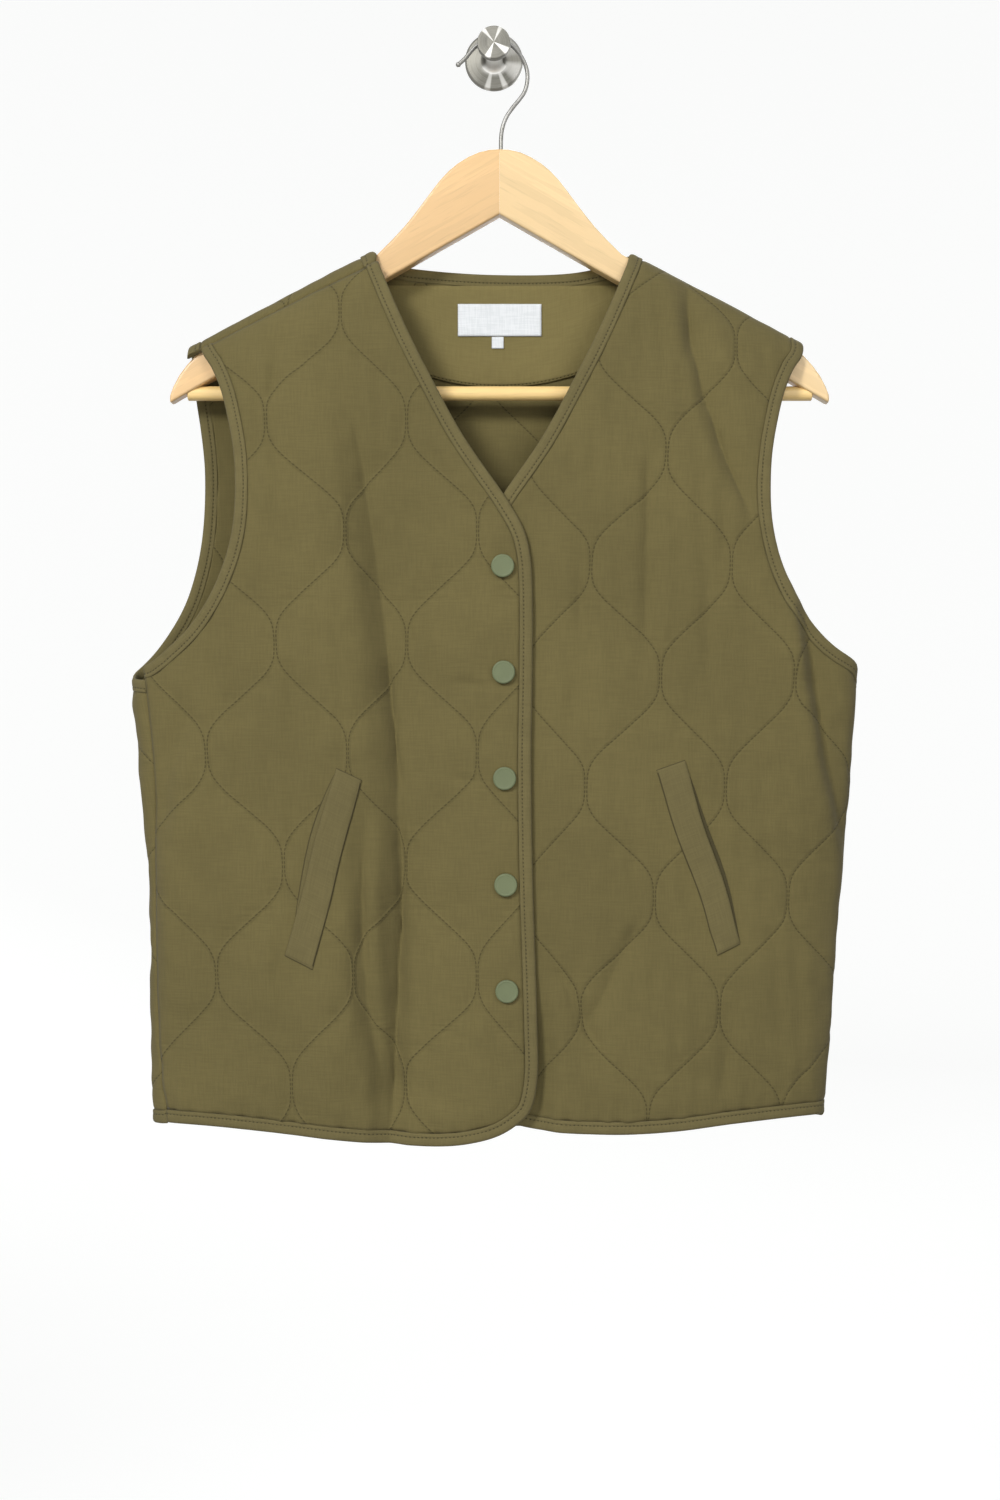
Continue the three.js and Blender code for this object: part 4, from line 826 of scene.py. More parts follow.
def back_shape():
    """The grid and the bound edges of the back."""
    bind = sizes().binding + SEAM
    low, high = cells(CELLS_ON["low"]), cells(CELLS_ON["back_high"])
    sides = {}
    for layer in ("right", "left"):
        side = SIDE[layer]
        tip = past_ridge("back", SHOULDER_CENTRE + side * SHOULDER_POINT[layer])
        rows = zip(BACK_ARMHOLE["z"], BACK_ARMHOLE[layer])
        points = [
            (
                float(back_side_c(layer, UNDERARM)) + side * ARMHOLE_START["past"],
                UNDERARM - ARMHOLE_START["below"],
            ),
            (side * RING["back"].total * float(half_at(side, UNDERARM)), UNDERARM),
            *(flat("back", back_centre(z) + side * a, z) for z, a in rows),
            tip,
        ]
        armhole = spline(points)
        arm = armhole + normals_of(armhole, side) * bind
        arm = arm[np.abs(back_side_c(layer, arm[:, 1])) > np.abs(arm[:, 0])]
        arm = up_to(arm, arm[:, 1] - shoulder_w("back", layer, arm[:, 0]))
        w = np.linspace(BACK_HEM[layer] + bind, arm[0, 1], 60)
        seam = np.stack([back_side_c(layer, w), w], axis=1)
        sides[layer] = rows_between(seam, arm, low, high)

    right, left = sides["right"], sides["left"]
    columns = cells(CELLS_ON["back"])
    c = np.linspace(right[0, 0], left[0, 0], columns + 1)
    reach = np.clip(((c - BACK_CENTRE) / BACK_HEM["half"]) ** 2, 0, 1)
    hem_side = np.where(c < BACK_CENTRE, BACK_HEM["right"], BACK_HEM["left"])
    hem = BACK_HEM["middle"] + (hem_side - BACK_HEM["middle"]) * reach
    bottom = np.stack([c, hem + bind], axis=1)
    bottom[0], bottom[-1] = right[0], left[0]

    neck_half = NECK_POINT + bind
    ends, over = {}, {}
    for layer in ("right", "left"):
        x = SHOULDER_CENTRE + SIDE[layer] * (neck_half - NECK_DRAWN_IN[layer])
        end = flat("back", x, float(ridge(x)) - 1)[0]
        ends[layer] = (end, float(shoulder_w("back", layer, end)))
        x = SHOULDER_CENTRE + SIDE[layer] * (neck_half - NECK_TURN["in"])
        over[layer] = flat("back", x, float(ridge(x)) - NECK_TURN["down"])
    crest_x = SHOULDER_CENTRE - neck_half + NECK_DRAWN_IN["right"] / 2
    crest = (flat("back", crest_x, float(ridge(crest_x)) - 1)[0], float(ridge(crest_x)) + EXCESS["back"])
    rows = [
        flat("back", SHOULDER_CENTRE + a + np.sign(a) * BACK_NECK_WIDER, z - bind)
        for a, z in zip(BACK_NECK["across"], BACK_NECK["z"])
    ]
    neck = spline([ends["right"], crest, over["right"], *rows, over["left"], ends["left"]])

    neck_columns = 2 * round(columns * NECK_SHARE)
    shoulder = (columns - neck_columns) // 2
    tops = {}
    for layer, start, end in (
        ("right", right[-1], ends["right"]),
        ("left", ends["left"], left[-1]),
    ):
        count = shoulder if layer == "right" else columns - neck_columns - shoulder
        along = np.linspace(start[0], end[0], count + 1)
        tops[layer] = np.stack([along, shoulder_w("back", layer, along)], axis=1)
    tops["right"][0], tops["left"][-1] = right[-1], left[-1]
    neck_row = resample(neck, np.linspace(0, 1, neck_columns + 1))
    top = np.vstack([tops["right"][:-1], neck_row, tops["left"][1:]])

    def arm_frames(layer, rows, side):
        return edge_frames(
            rows[low:],
            -side,
            first=along_side(lambda v: back_side_c(layer, v), rows[low, 1], 1),
            last=along_shoulder("back", layer, rows[-1, 0], side),
        )

    return {
        "panel": ("back", "back"),
        "grid": coons(right, left, bottom, top),
        "neck": edge_frames(
            neck_row,
            1,
            first=along_shoulder("back", "right", neck_row[0, 0], 1),
            last=along_shoulder("back", "left", neck_row[-1, 0], -1),
        ),
        "hem": edge_frames(
            bottom,
            -1,
            first=along_side(lambda v: back_side_c("right", v), bottom[0, 1], -1),
            last=along_side(lambda v: back_side_c("left", v), bottom[-1, 1], -1),
        ),
        "arm": {"right": arm_frames("right", right, -1), "left": arm_frames("left", left, 1)},
    }


# Quilting on a panel


def quilt_phase(layer, w):
    return 2 * math.pi * (w - QUILT_AT[layer][1]) / QUILT["wave"]


def quilt_wave(layer, w):
    angle = quilt_phase(layer, w)
    flat, square = QUILT["flat"], QUILT["square"]
    wave = (np.cos(angle) - flat * np.cos(3 * angle) - square * np.cos(5 * angle)) / (1 - flat - square)
    return (QUILT["spacing"] - QUILT["near"]) / 2 * wave


def quilt_slope(layer, w):
    return quilt_wave(layer, w + 0.5) - quilt_wave(layer, w - 0.5)


def stitch_fields(layer, c, w):
    """Signed distances to the nearest even and odd stitch lines, and the length along them."""
    x = QUILT_AT[layer][0]
    if layer != "back":
        middle, down = (np.interp(c, QUILT_DRIFT["c"], QUILT_DRIFT[name]) for name in ("middle", "down"))
        c = c - middle - down * (DRIFT_MIDDLE - w)
    spacing = 2 * QUILT["spacing"]
    wave = quilt_wave(layer, w)
    lean = 1 / np.hypot(1, quilt_slope(layer, w))
    even = c - (x - 0.5 * QUILT["spacing"] + wave)
    odd = c - (x + 0.5 * QUILT["spacing"] - wave)
    fields = [spacing / math.pi * np.sin(math.pi * d / spacing) * lean for d in (even, odd)]
    heights = np.arange(-760.0, 20.0, 1.0)
    steps = np.hypot(1, quilt_slope(layer, heights))
    along = np.interp(w, heights, np.cumsum(steps))
    return fields[0], fields[1], along


def pressed(layer, c, w):
    """0 where the padding is pressed flat, round snaps, under welts and in the lap; 1 elsewhere."""
    if layer == "back":
        return np.ones_like(c)
    across = (c - FRONT_CENTRE) * SIDE[layer]
    clear, fade = PRESSED["lap"]
    share = smooth((across - clear) / fade) if layer == "left" else np.ones_like(c)
    welt = WELTS[layer]
    (seam_top, seam_bottom), (open_top, open_bottom) = welt["seam"], welt["open"]
    t = np.clip((seam_top[1] - w) / (seam_top[1] - seam_bottom[1]), 0, 1)
    near = seam_top[0] + (seam_bottom[0] - seam_top[0]) * t
    far = open_top[0] + (open_bottom[0] - open_top[0]) * t
    beyond = np.maximum.reduce([w - open_top[1], seam_bottom[1] - w, near - across, across - far])
    clear, fade = PRESSED["welt"]
    share = share * smooth((beyond - clear) / fade)
    clear, fade = PRESSED["snap"]
    for i in range(SNAPS["count"]):
        away = np.hypot(c - FRONT_CENTRE, w - (SNAPS["top"] - i * SNAPS["pitch"]))
        share = share * smooth((away - clear) / fade)
    return share


WAVES = np.random.default_rng(7).uniform(0, 1, (14, 3))


def crumple(c, w, size, seed=0):
    """Gentle irregular waves about size millimetres long, from -1 to 1."""
    total = np.zeros_like(c)
    for i, (turn, stretch, phase) in enumerate(WAVES):
        angle = math.pi * (turn + 0.37 * seed)
        wavelength = size * (0.6 + 0.9 * stretch)
        along = c * math.cos(angle) + w * math.sin(angle)
        total += np.sin(2 * math.pi * (along / wavelength + phase + 0.61 * seed * i))
    return total / math.sqrt(len(WAVES))


def streaks(c, w):
    """Faint creases that run down the cloth, from -1 to 1."""
    return crumple(c * 2.6, w * 0.32, 34, 8)


def padding(layer, c, w, inside):
    """Height of the padded cloth's outer face; inside is the distance to the nearest edge."""
    even, odd, along = stitch_fields(layer, c, w)
    near = np.minimum(np.abs(even), np.abs(odd))
    full = 1 - np.exp(-((near / PUFF["reach"]) ** PUFF["power"]))
    beat = np.sin(along / PUCKER["long"] + 1.7 * crumple(c, w, 40, 3))
    pucker = PUCKER["rise"] * beat * np.exp(-near / PUCKER["reach"])
    flat_edge = smooth(inside / PUFF["edge"])
    crest = ridge(c) + EXCESS["back" if layer == "back" else "front"]
    least = RIDGE_CALM["least"]
    below = least + (1 - least) * smooth((crest - w) / RIDGE_CALM["down_to"])
    puff = (sizes().puff * full * flat_edge + pucker) * pressed(layer, c, w) * below
    seam = EDGE_SEAM["deep"] * np.exp(-((inside / EDGE_SEAM["wide"]) ** 2))
    waves = 0.3 * crumple(c, w, 34) + 0.16 * crumple(c, w, 15, 2) + 0.3 * streaks(c, w)
    at_hem = np.exp(-inside / HEM_RIPPLE["reach"]) * smooth((HEM_RIPPLE["from"] - w) / HEM_RIPPLE["over"])
    hem_ripple = HEM_RIPPLE["rise"] * crumple(c, w * 0.25, HEM_RIPPLE["long"], 9) * at_hem
    calm = (0.4 + 0.6 * flat_edge) * (0.25 + 0.75 * pressed(layer, c, w)) * below
    return sizes().wall + puff - seam + waves * calm + hem_ripple


def distance_inside(grid):
    """Distance of each place of a grid from the grid's border."""
    border = np.vstack([grid[0], grid[-1], grid[:, 0], grid[:, -1]])
    flat_places = grid.reshape(-1, 2)
    nearest = np.full(len(flat_places), np.inf)
    for part in np.array_split(border, 24):
        away = np.hypot(flat_places[:, :1] - part[:, 0], flat_places[:, 1:] - part[:, 1])
        nearest = np.minimum(nearest, away.min(axis=1))
    return nearest.reshape(grid.shape[:2])


# Meshes


def add_piece(name, points, faces, material, uv, nodes=(), stitches=None):
    """A piece from points in millimetres, riding on the body and standing for its CAD nodes."""
    mesh = bpy.data.meshes.new(name)
    mesh.from_pydata(np.asarray(points) * MM, [], faces)
    mesh.polygons.foreach_set("use_smooth", [True] * len(mesh.polygons))
    corner_points = np.empty(len(mesh.loops), dtype=np.int32)
    mesh.loops.foreach_get("vertex_index", corner_points)
    layer = mesh.uv_layers.new(name="Pattern")
    layer.data.foreach_set("uv", np.asarray(uv, dtype=np.float32)[corner_points].ravel())
    if stitches is not None:
        attribute = mesh.attributes.new("stitch", "FLOAT_VECTOR", "POINT")
        attribute.data.foreach_set("vector", np.asarray(stitches, dtype=np.float32).ravel())
    mesh.materials.append(material)
    mesh.update()
    piece = bpy.data.objects.new(name, mesh)
    bpy.context.scene.collection.objects.link(piece)
    finish_piece(piece, nodes)
    return piece


def finish_piece(piece, nodes):
    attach(piece, BODY_OF_ALL)
    if nodes:
        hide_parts(*nodes)


def grid_faces(rows, columns, start, flip):
    index = start + np.arange(rows * columns).reshape(rows, columns)
    places = [index[:-1, :-1], index[:-1, 1:], index[1:, 1:], index[1:, :-1]]
    quads = np.stack(places, axis=-1).reshape(-1, 4)
    return quads[:, ::-1] if flip else quads


def rim_faces(rows, columns, flip):
    """Quads that join the borders of two equal grids, the second after the first."""
    index = np.arange(rows * columns).reshape(rows, columns)
    loop = np.r_[index[0], index[1:, -1], index[-1, -2::-1], index[-2:0:-1, 0]]
    after = np.roll(loop, -1)
    count = rows * columns
    quads = np.stack([loop, loop + count, after + count, after], axis=1)
    return quads[:, ::-1] if flip else quads


def slab(outer, inner, flip):
    """Points and faces of a closed sheet between two grids of points."""
    rows, columns = outer.shape[:2]
    points = np.vstack([outer.reshape(-1, 3), inner.reshape(-1, 3)])
    front, behind = (grid_faces(rows, columns, *way) for way in ((0, flip), (rows * columns, not flip)))
    return points, np.vstack([front, behind, rim_faces(rows, columns, flip)]).tolist()


def tube(sections):
    """Points and faces of a closed tube through equal rings, as [ring, point, 3]."""
    count, ring = sections.shape[:2]
    index = np.arange(count * ring).reshape(count, ring)
    after = np.roll(index, -1, axis=1)
    quads = np.stack([index[:-1], after[:-1], after[1:], index[1:]], axis=-1).reshape(-1, 4)
    faces = quads.tolist()
    faces.append(index[0][::-1].tolist())
    faces.append(index[-1].tolist())
    return sections.reshape(-1, 3), faces


def outward_faces(points, faces):
    """The faces, turned over as one if they enclose a negative volume."""
    points = np.asarray(points)
    volume = 0.0
    for face in faces:
        a = points[face[0]]
        for k in range(1, len(face) - 1):
            volume += np.dot(a, np.cross(points[face[k]], points[face[k + 1]]))
    return faces if volume > 0 else [list(reversed(face)) for face in faces]


# Materials


class Nodes:
    """Short names for the shader nodes of one material."""

    def __init__(self, name):
        self.material = bpy.data.materials.new(name)
        self.material.use_nodes = True
        self.tree = self.material.node_tree
        self.shader = self.tree.nodes["Principled BSDF"]

    def put(self, socket, value):
        if isinstance(value, bpy.types.NodeSocket):
            self.tree.links.new(value, socket)
        else:
            socket.default_value = value

    def add(self, kind, **settings):
        node = self.tree.nodes.new(kind)
        for key, value in settings.items():
            setattr(node, key, value)
        return node

    def object_place(self):
        return self.add("ShaderNodeTexCoord").outputs["Object"]

    def pattern_place(self):
        return self.add("ShaderNodeUVMap", uv_map="Pattern").outputs["UV"]

    def math(self, operation, *values):
        node = self.add("ShaderNodeMath", operation=operation)
        for socket, value in zip(node.inputs, values):
            self.put(socket, value)
        return node.outputs[0]

    def times(self, first, second):
        return self.math("MULTIPLY", first, second)

    def add_share(self, value, share, total):
        """The total with a share of a value added to it."""
        return self.math("MULTIPLY_ADD", value, share, total)

    def combine(self, x, y, z=0.0):
        node = self.add("ShaderNodeCombineXYZ")
        for socket, value in zip(node.inputs, (x, y, z)):
            self.put(socket, value)
        return node.outputs[0]

    def split(self, vector):
        node = self.add("ShaderNodeSeparateXYZ")
        self.put(node.inputs[0], vector)
        return node.outputs

    def mix(self, share, first, second, blend="MIX"):
        node = self.add("ShaderNodeMix", data_type="RGBA", blend_type=blend)
        self.put(node.inputs[0], share)
        for socket, value in ((node.inputs[6], first), (node.inputs[7], second)):
            if not isinstance(value, bpy.types.NodeSocket):
                value = (*value[:3], 1.0)
            self.put(socket, value)
        return node.outputs[2]

    def noise(self, vector, scale, detail=2.0, roughness=0.5):
        node = self.add("ShaderNodeTexNoise")
        self.put(node.inputs["Vector"], vector)
        node.inputs["Scale"].default_value = scale
        node.inputs["Detail"].default_value = detail
        node.inputs["Roughness"].default_value = roughness
        return node.outputs["Fac"]

    def spread(self, value, low, high, to_low=0.0, to_high=1.0):
        node = self.add("ShaderNodeMapRange", interpolation_type="SMOOTHSTEP")
        self.put(node.inputs["Value"], value)
        names = ("From Min", "From Max", "To Min", "To Max")
        for name, number in zip(names, (low, high, to_low, to_high)):
            node.inputs[name].default_value = number
        return node.outputs["Result"]

    def band(self, value, rise, full, fall, end):
        """1 between full and fall, and 0 below rise and above end."""
        return self.times(self.spread(value, rise, full), self.spread(value, fall, end, 1.0, 0.0))

    def within(self, value, near, far):
        """1 where a distance is less than near millimetres, and 0 where it is more than far."""
        return self.spread(value, near * MM, far * MM, 1.0, 0.0)

    def bump(self, height, distance):
        node = self.add("ShaderNodeBump")
        self.put(node.inputs["Height"], height)
        node.inputs["Distance"].default_value = distance
        node.inputs["Strength"].default_value = 1.0
        return node.outputs["Normal"]

    def finish(self, colour, roughness, normal=None, **sockets):
        self.put(self.shader.inputs["Base Color"], colour)
        self.put(self.shader.inputs["Roughness"], roughness)
        if normal is not None:
            self.put(self.shader.inputs["Normal"], normal)
        for name, value in sockets.items():
            self.shader.inputs[name.replace("_", " ")].default_value = value
        return self.material


CLOTH_FINISH = {"Sheen_Weight": 0.06, "Sheen_Roughness": 0.5, "Specular_IOR_Level": 0.14}
YARN_PITCH = 0.62
SLUB_LENGTH = 14.0
SLUB_SCALE = 70.0
TAPE_STITCH = 2.6
# Half widths of the lines painted dark as shade, in millimetres: full up to the first, and gone at the second
LINE_WIDTH = {"quilting": (0.15, 0.6), "tape": (0.15, 0.55), "seam": (0.2, 0.7)}
# Where a stitch dash or a needle hole starts, is full, starts to end and has ended, as shares of a stitch;
# both are painted dark as shade
STITCH_DASH_BEAT = (0.05, 0.2, 0.62, 0.8)
HOLE_BEAT = (0.0, 0.15, 0.4, 0.6)
# Dark and pale tones of the finishes that aren't settings
RIBBON_TONES = ((0.58, 0.605, 0.62), (0.66, 0.68, 0.695))
WIRE_TONES = ((0.2, 0.195, 0.18), (0.26, 0.255, 0.245))
STEEL_TONES = ((0.135, 0.13, 0.112), (0.19, 0.185, 0.165))
# Colour of the highlights painted on the steel
PAINTED_GLEAM_TONE = (0.8, 0.79, 0.76)


def shade(colour, factor):
    return tuple(channel * factor for channel in colour)


def weave(nodes, uv):
    """Height of a plain weave with uneven yarns, on a UV map in metres."""
    u, v, _ = nodes.split(uv)
    warp, weft = (nodes.math("SINE", nodes.times(along, 2 * math.pi / (YARN_PITCH * MM))) for along in (u, v))
    slub_u = nodes.noise(nodes.combine(nodes.times(u, SLUB_LENGTH), v), SLUB_SCALE)
    slub_v = nodes.noise(nodes.combine(u, nodes.times(v, SLUB_LENGTH)), SLUB_SCALE)
    slubs = nodes.math("ADD", slub_u, slub_v)
    return nodes.add_share(nodes.times(warp, weft), 0.12, slubs), slubs


def cloth_colour(nodes, uv, slubs, colour):
    """Faded patches and uneven yarns over one colour."""
    patches = nodes.noise(uv, 9.0, 3.0, 0.6)
    base = nodes.mix(nodes.spread(patches, 0.35, 0.65), shade(colour, 0.95), shade(colour, 1.05))
    darker = nodes.mix(1.0, base, (0.9, 0.9, 0.9), "MULTIPLY")
    return nodes.mix(nodes.spread(slubs, 0.75, 1.25), darker, base)


def quilted_cloth():
    nodes = Nodes("Quilted cloth")
    colour = tuple(colours().cloth)
    uv = nodes.pattern_place()
    stitch = nodes.add("ShaderNodeAttribute", attribute_name="stitch").outputs["Vector"]
    even, odd, along = nodes.split(stitch)
    near = nodes.math("MINIMUM", nodes.math("ABSOLUTE", even), nodes.math("ABSOLUTE", odd))
    height, slubs = weave(nodes, uv)
    groove = nodes.within(near, 0.0, 1.8)
    beat = nodes.math("FRACT", nodes.math("DIVIDE", along, sizes().stitch * MM))
    line = nodes.within(near, *LINE_WIDTH["quilting"])
    shaded_stitch_dash = nodes.times(nodes.band(beat, *STITCH_DASH_BEAT), line)
    pucker_at = nodes.combine(nodes.times(along, 210.0), nodes.times(near, 45.0))
    puckers = nodes.times(nodes.noise(pucker_at, 1.0), nodes.within(near, 0.0, 16))
    relief = nodes.times(groove, -0.55)
    relief = nodes.add_share(puckers, 0.9, relief)
    relief = nodes.add_share(height, 0.1, relief)
    relief = nodes.add_share(shaded_stitch_dash, 0.12, relief)
    base = cloth_colour(nodes, uv, slubs, colour)
    # Painted shade along the quilting: darker in the groove and on the stitch line, and darkest on the
    # dashes, which stand for the shade of the needle holes
    base = nodes.mix(nodes.times(groove, 0.08), base, shade(colour, 0.55))
    base = nodes.mix(nodes.times(line, 0.14), base, shade(colour, 0.4))
    base = nodes.mix(nodes.times(shaded_stitch_dash, 0.62), base, shade(colour, 0.22))
    return nodes.finish(base, 0.88, nodes.bump(relief, 0.7 * MM), **CLOTH_FINISH)


def tape_cloth(name, colour, stitch_at=(), seam_shades_at=()):
    """Plain cloth of the tapes, with stitch rows and dark seam lines at places across the pattern; the stitch
    grooves, needle holes and seam lines are painted shade.
    """
    nodes = Nodes(name)
    uv = nodes.pattern_place()
    height, slubs = weave(nodes, uv)
    base = cloth_colour(nodes, uv, slubs, colour)
    relief = nodes.times(height, 0.14)
    u, v, _ = nodes.split(uv)
    for place_across in stitch_at:
        away = nodes.math("ABSOLUTE", nodes.math("SUBTRACT", v, place_across * MM))
        groove = nodes.within(away, 0.0, 1.0)
        line = nodes.within(away, *LINE_WIDTH["tape"])
        beat = nodes.math("FRACT", nodes.math("DIVIDE", u, TAPE_STITCH * MM))
        hole = nodes.times(line, nodes.band(beat, *HOLE_BEAT))
        relief = nodes.add_share(groove, -0.2, relief)
        relief = nodes.add_share(hole, -0.4, relief)
        # Painted shade: the stitch line darker, and the needle holes darker still
        base = nodes.mix(nodes.times(line, 0.1), base, shade(colour, 0.5))
        base = nodes.mix(nodes.times(hole, 0.75), base, shade(colour, 0.25))
    for place_across in seam_shades_at:
        away = nodes.math("ABSOLUTE", nodes.math("SUBTRACT", v, place_across * MM))
        line = nodes.within(away, *LINE_WIDTH["seam"])
        # Painted shade along each seam line
        base = nodes.mix(nodes.times(line, 0.75), base, shade(colour, 0.25))
    wrinkle = nodes.noise(nodes.combine(nodes.times(u, 150.0), nodes.times(v, 40.0)), 1.0)
    relief = nodes.add_share(wrinkle, 0.5, relief)
    return nodes.finish(base, 0.86, nodes.bump(relief, 0.6 * MM), **CLOTH_FINISH)


def satin_ribbon():
    nodes = Nodes("Satin ribbon")
    uv = nodes.pattern_place()
    height, slubs = weave(nodes, uv)
    base = nodes.mix(nodes.spread(slubs, 0.8, 1.2), *RIBBON_TONES)
    return nodes.finish(base, 0.55, nodes.bump(height, 0.05 * MM), Sheen_Weight=0.2, Sheen_Roughness=0.4)


def snap_plastic():
    nodes = Nodes("Snap plastic")
    at = nodes.object_place()
    grain = nodes.noise(at, 900.0, 3.0)
    cloud = nodes.noise(at, 60.0)
    colour = tuple(colours().snap)
    base = nodes.mix(nodes.spread(cloud, 0.3, 0.7), shade(colour, 0.94), shade(colour, 1.06))
    rough = nodes.spread(grain, 0.2, 0.8, 0.48, 0.6)
    return nodes.finish(base, rough, nodes.bump(grain, 0.03 * MM), Specular_IOR_Level=0.3)


def grain_wood(name, turn, shift, colour, pale):
    """Pale wood whose grain runs along X after the pattern is turned about Y."""
    nodes = Nodes(name)
    at = nodes.object_place()
    mapping = nodes.add("ShaderNodeMapping")
    nodes.put(mapping.inputs["Vector"], at)
    mapping.inputs["Rotation"].default_value = (0, turn, 0)
    mapping.inputs["Location"].default_value = (0, 0, shift)
    x, y, z = nodes.split(mapping.outputs["Vector"])
    long_way = nodes.combine(nodes.times(x, 5.0), nodes.times(y, 60.0), nodes.times(z, 60.0))
    bands = nodes.noise(long_way, 1.3, 4.0, 0.6)
    rings = nodes.math("FRACT", nodes.times(bands, 7.0))
    ring_line = nodes.band(rings, 0.0, 0.7, 0.85, 1.0)
    fine_way = nodes.combine(nodes.times(x, 40.0), nodes.times(y, 900.0), nodes.times(z, 900.0))
    fibres = nodes.noise(fine_way, 1.0, 3.0, 0.6)
    base = nodes.mix(nodes.spread(bands, 0.35, 0.65), colour, pale)
    base = nodes.mix(nodes.times(ring_line, 0.16), base, shade(colour, 0.72))
    base = nodes.mix(nodes.spread(fibres, 0.55, 0.75, 0.0, 0.35), base, shade(colour, 0.68))
    relief = nodes.add_share(fibres, 0.6, nodes.times(ring_line, 0.3))
    rough = nodes.spread(fibres, 0.3, 0.7, 0.36, 0.5)
    return nodes.finish(base, rough, nodes.bump(relief, 0.06 * MM), Coat_Weight=0.25, Coat_Roughness=0.25)


def bright_wire():
    nodes = Nodes("Bright wire")
    at = nodes.object_place()
    wear = nodes.noise(at, 110.0)
    base = nodes.mix(nodes.spread(wear, 0.3, 0.7), *WIRE_TONES)
    rough = nodes.spread(wear, 0.2, 0.8, 0.42, 0.48)
    return nodes.finish(base, rough, nodes.bump(wear, 0.002 * MM), Metallic=1.0)


def brushed_steel():
    """Steel brushed in rings about the hook's axis, which is the frame's Y axis, with highlights painted into
    its colour as bright rays.
    """
    nodes = Nodes("Brushed steel")
    at = nodes.object_place()
    x, y, z = nodes.split(at)
    radius = nodes.math("SQRT", nodes.math("ADD", nodes.times(x, x), nodes.times(z, z)))
    rings = nodes.noise(nodes.combine(nodes.times(radius, 5200.0), nodes.times(y, 2600.0)), 1.0)
    tangent = nodes.add("ShaderNodeTangent", direction_type="UV_MAP", uv_map="Brushing").outputs[0]
    nodes.put(nodes.shader.inputs["Tangent"], tangent)
    base = nodes.mix(nodes.spread(rings, 0.3, 0.7), *STEEL_TONES)
    out = nodes.times(y, -1 / MM)
    # Painted highlights: bright rays mixed into the base colour, standing for reflections of the lamps and
    # the stage
    for near, far, turn, wide, gain in zip(*STEEL_PAINTED_GLEAMS.values()):
        turn, wide = math.radians(turn), math.radians(wide)
        along = nodes.add_share(x, math.cos(turn), nodes.times(z, math.sin(turn)))
        facing = nodes.math("DIVIDE", along, radius)
        painted_gleam = nodes.spread(facing, math.cos(wide), math.cos(wide * 0.3), 0.0, gain)
        zone = nodes.band(out, near - PAINTED_GLEAM_EDGE, near, far, far + PAINTED_GLEAM_EDGE)
        base = nodes.mix(nodes.times(painted_gleam, zone), base, PAINTED_GLEAM_TONE)
    rough = nodes.spread(rings, 0.2, 0.8, 0.48, 0.56)
    return nodes.finish(base, rough, nodes.bump(rings, 0.012 * MM), Metallic=1.0, Anisotropic=0.35)


def stage_paint():
    nodes = Nodes("Stage paint")
    at = nodes.object_place()
    tone = tuple(colours().stage)
    height = nodes.split(at)[2]
    share = nodes.spread(height, STAGE["low"], STAGE["high"])
    base = nodes.mix(share, shade(tone, STAGE_SHADE["low"]), shade(tone, STAGE_SHADE["high"]))
    glow = nodes.spread(height, STAGE["low"], STAGE["high"], STAGE_GLOW["low"], STAGE_GLOW["high"])
    nodes.shader.inputs["Emission Color"].default_value = (*tone, 1.0)
    nodes.put(nodes.shader.inputs["Emission Strength"], glow)
    return nodes.finish(base, 0.9)


# Tools for pieces made with operators


def clear_selection():
    bpy.ops.object.select_all(action="DESELECT")


def make_active(piece):
    piece.select_set(True)
    bpy.context.view_layer.objects.active = piece


def start_edit():
    bpy.ops.object.mode_set(mode="EDIT")
    bpy.ops.mesh.select_mode(type="FACE")


def end_edit():
    bpy.ops.object.mode_set(mode="OBJECT")


def select_where(kind, test):
    """Selects the faces, edges or vertices that pass a test, in edit mode."""
    end_edit()
    mesh = bpy.context.object.data
    for group in (mesh.vertices, mesh.edges, mesh.polygons):
        group.foreach_set("select", [False] * len(group))
    for item in getattr(mesh, kind):
        item.select = bool(test(mesh, item))
    bpy.ops.object.mode_set(mode="EDIT")


def apply_place(piece, matrix=None):
    """Puts the object's place, and a further matrix, into its mesh."""
    piece.data.transform((matrix or Matrix()) @ piece.matrix_world)
    piece.matrix_world = Matrix()
    piece.data.update()


def turned_piece(name, profile, segments):
    """A turned solid along +Z: a disc that is extruded and resized from row to row."""
    clear_selection()
    radii, outs = profile["radius"] * MM, profile["out"] * MM
    bpy.ops.mesh.primitive_circle_add(
        vertices=segments, radius=radii[0], fill_type="NGON", location=(0, 0, outs[0])
    )
    piece = bpy.context.object
    piece.name = name
    start_edit()
    bpy.ops.mesh.select_all(action="SELECT")
    for i in range(1, len(radii)):
        bpy.ops.mesh.extrude_region_move(TRANSFORM_OT_translate={"value": (0, 0, outs[i] - outs[i - 1])})
        scale = radii[i] / radii[i - 1]
        if abs(scale - 1) > CLOSE:
            bpy.ops.transform.resize(value=(scale, scale, 1), center_override=(0, 0, outs[i]))
    bpy.ops.mesh.inset(thickness=radii[-1] * 0.5)
    bpy.ops.mesh.select_all(action="SELECT")
    bpy.ops.mesh.normals_make_consistent(inside=False)
    end_edit()
    bpy.ops.object.shade_smooth_by_angle(angle=math.radians(35))
    apply_place(piece)
    return piece


def give_material(piece, material):
    piece.data.materials.clear()
    piece.data.materials.append(material)


# Operators, one for each piece or group of like pieces


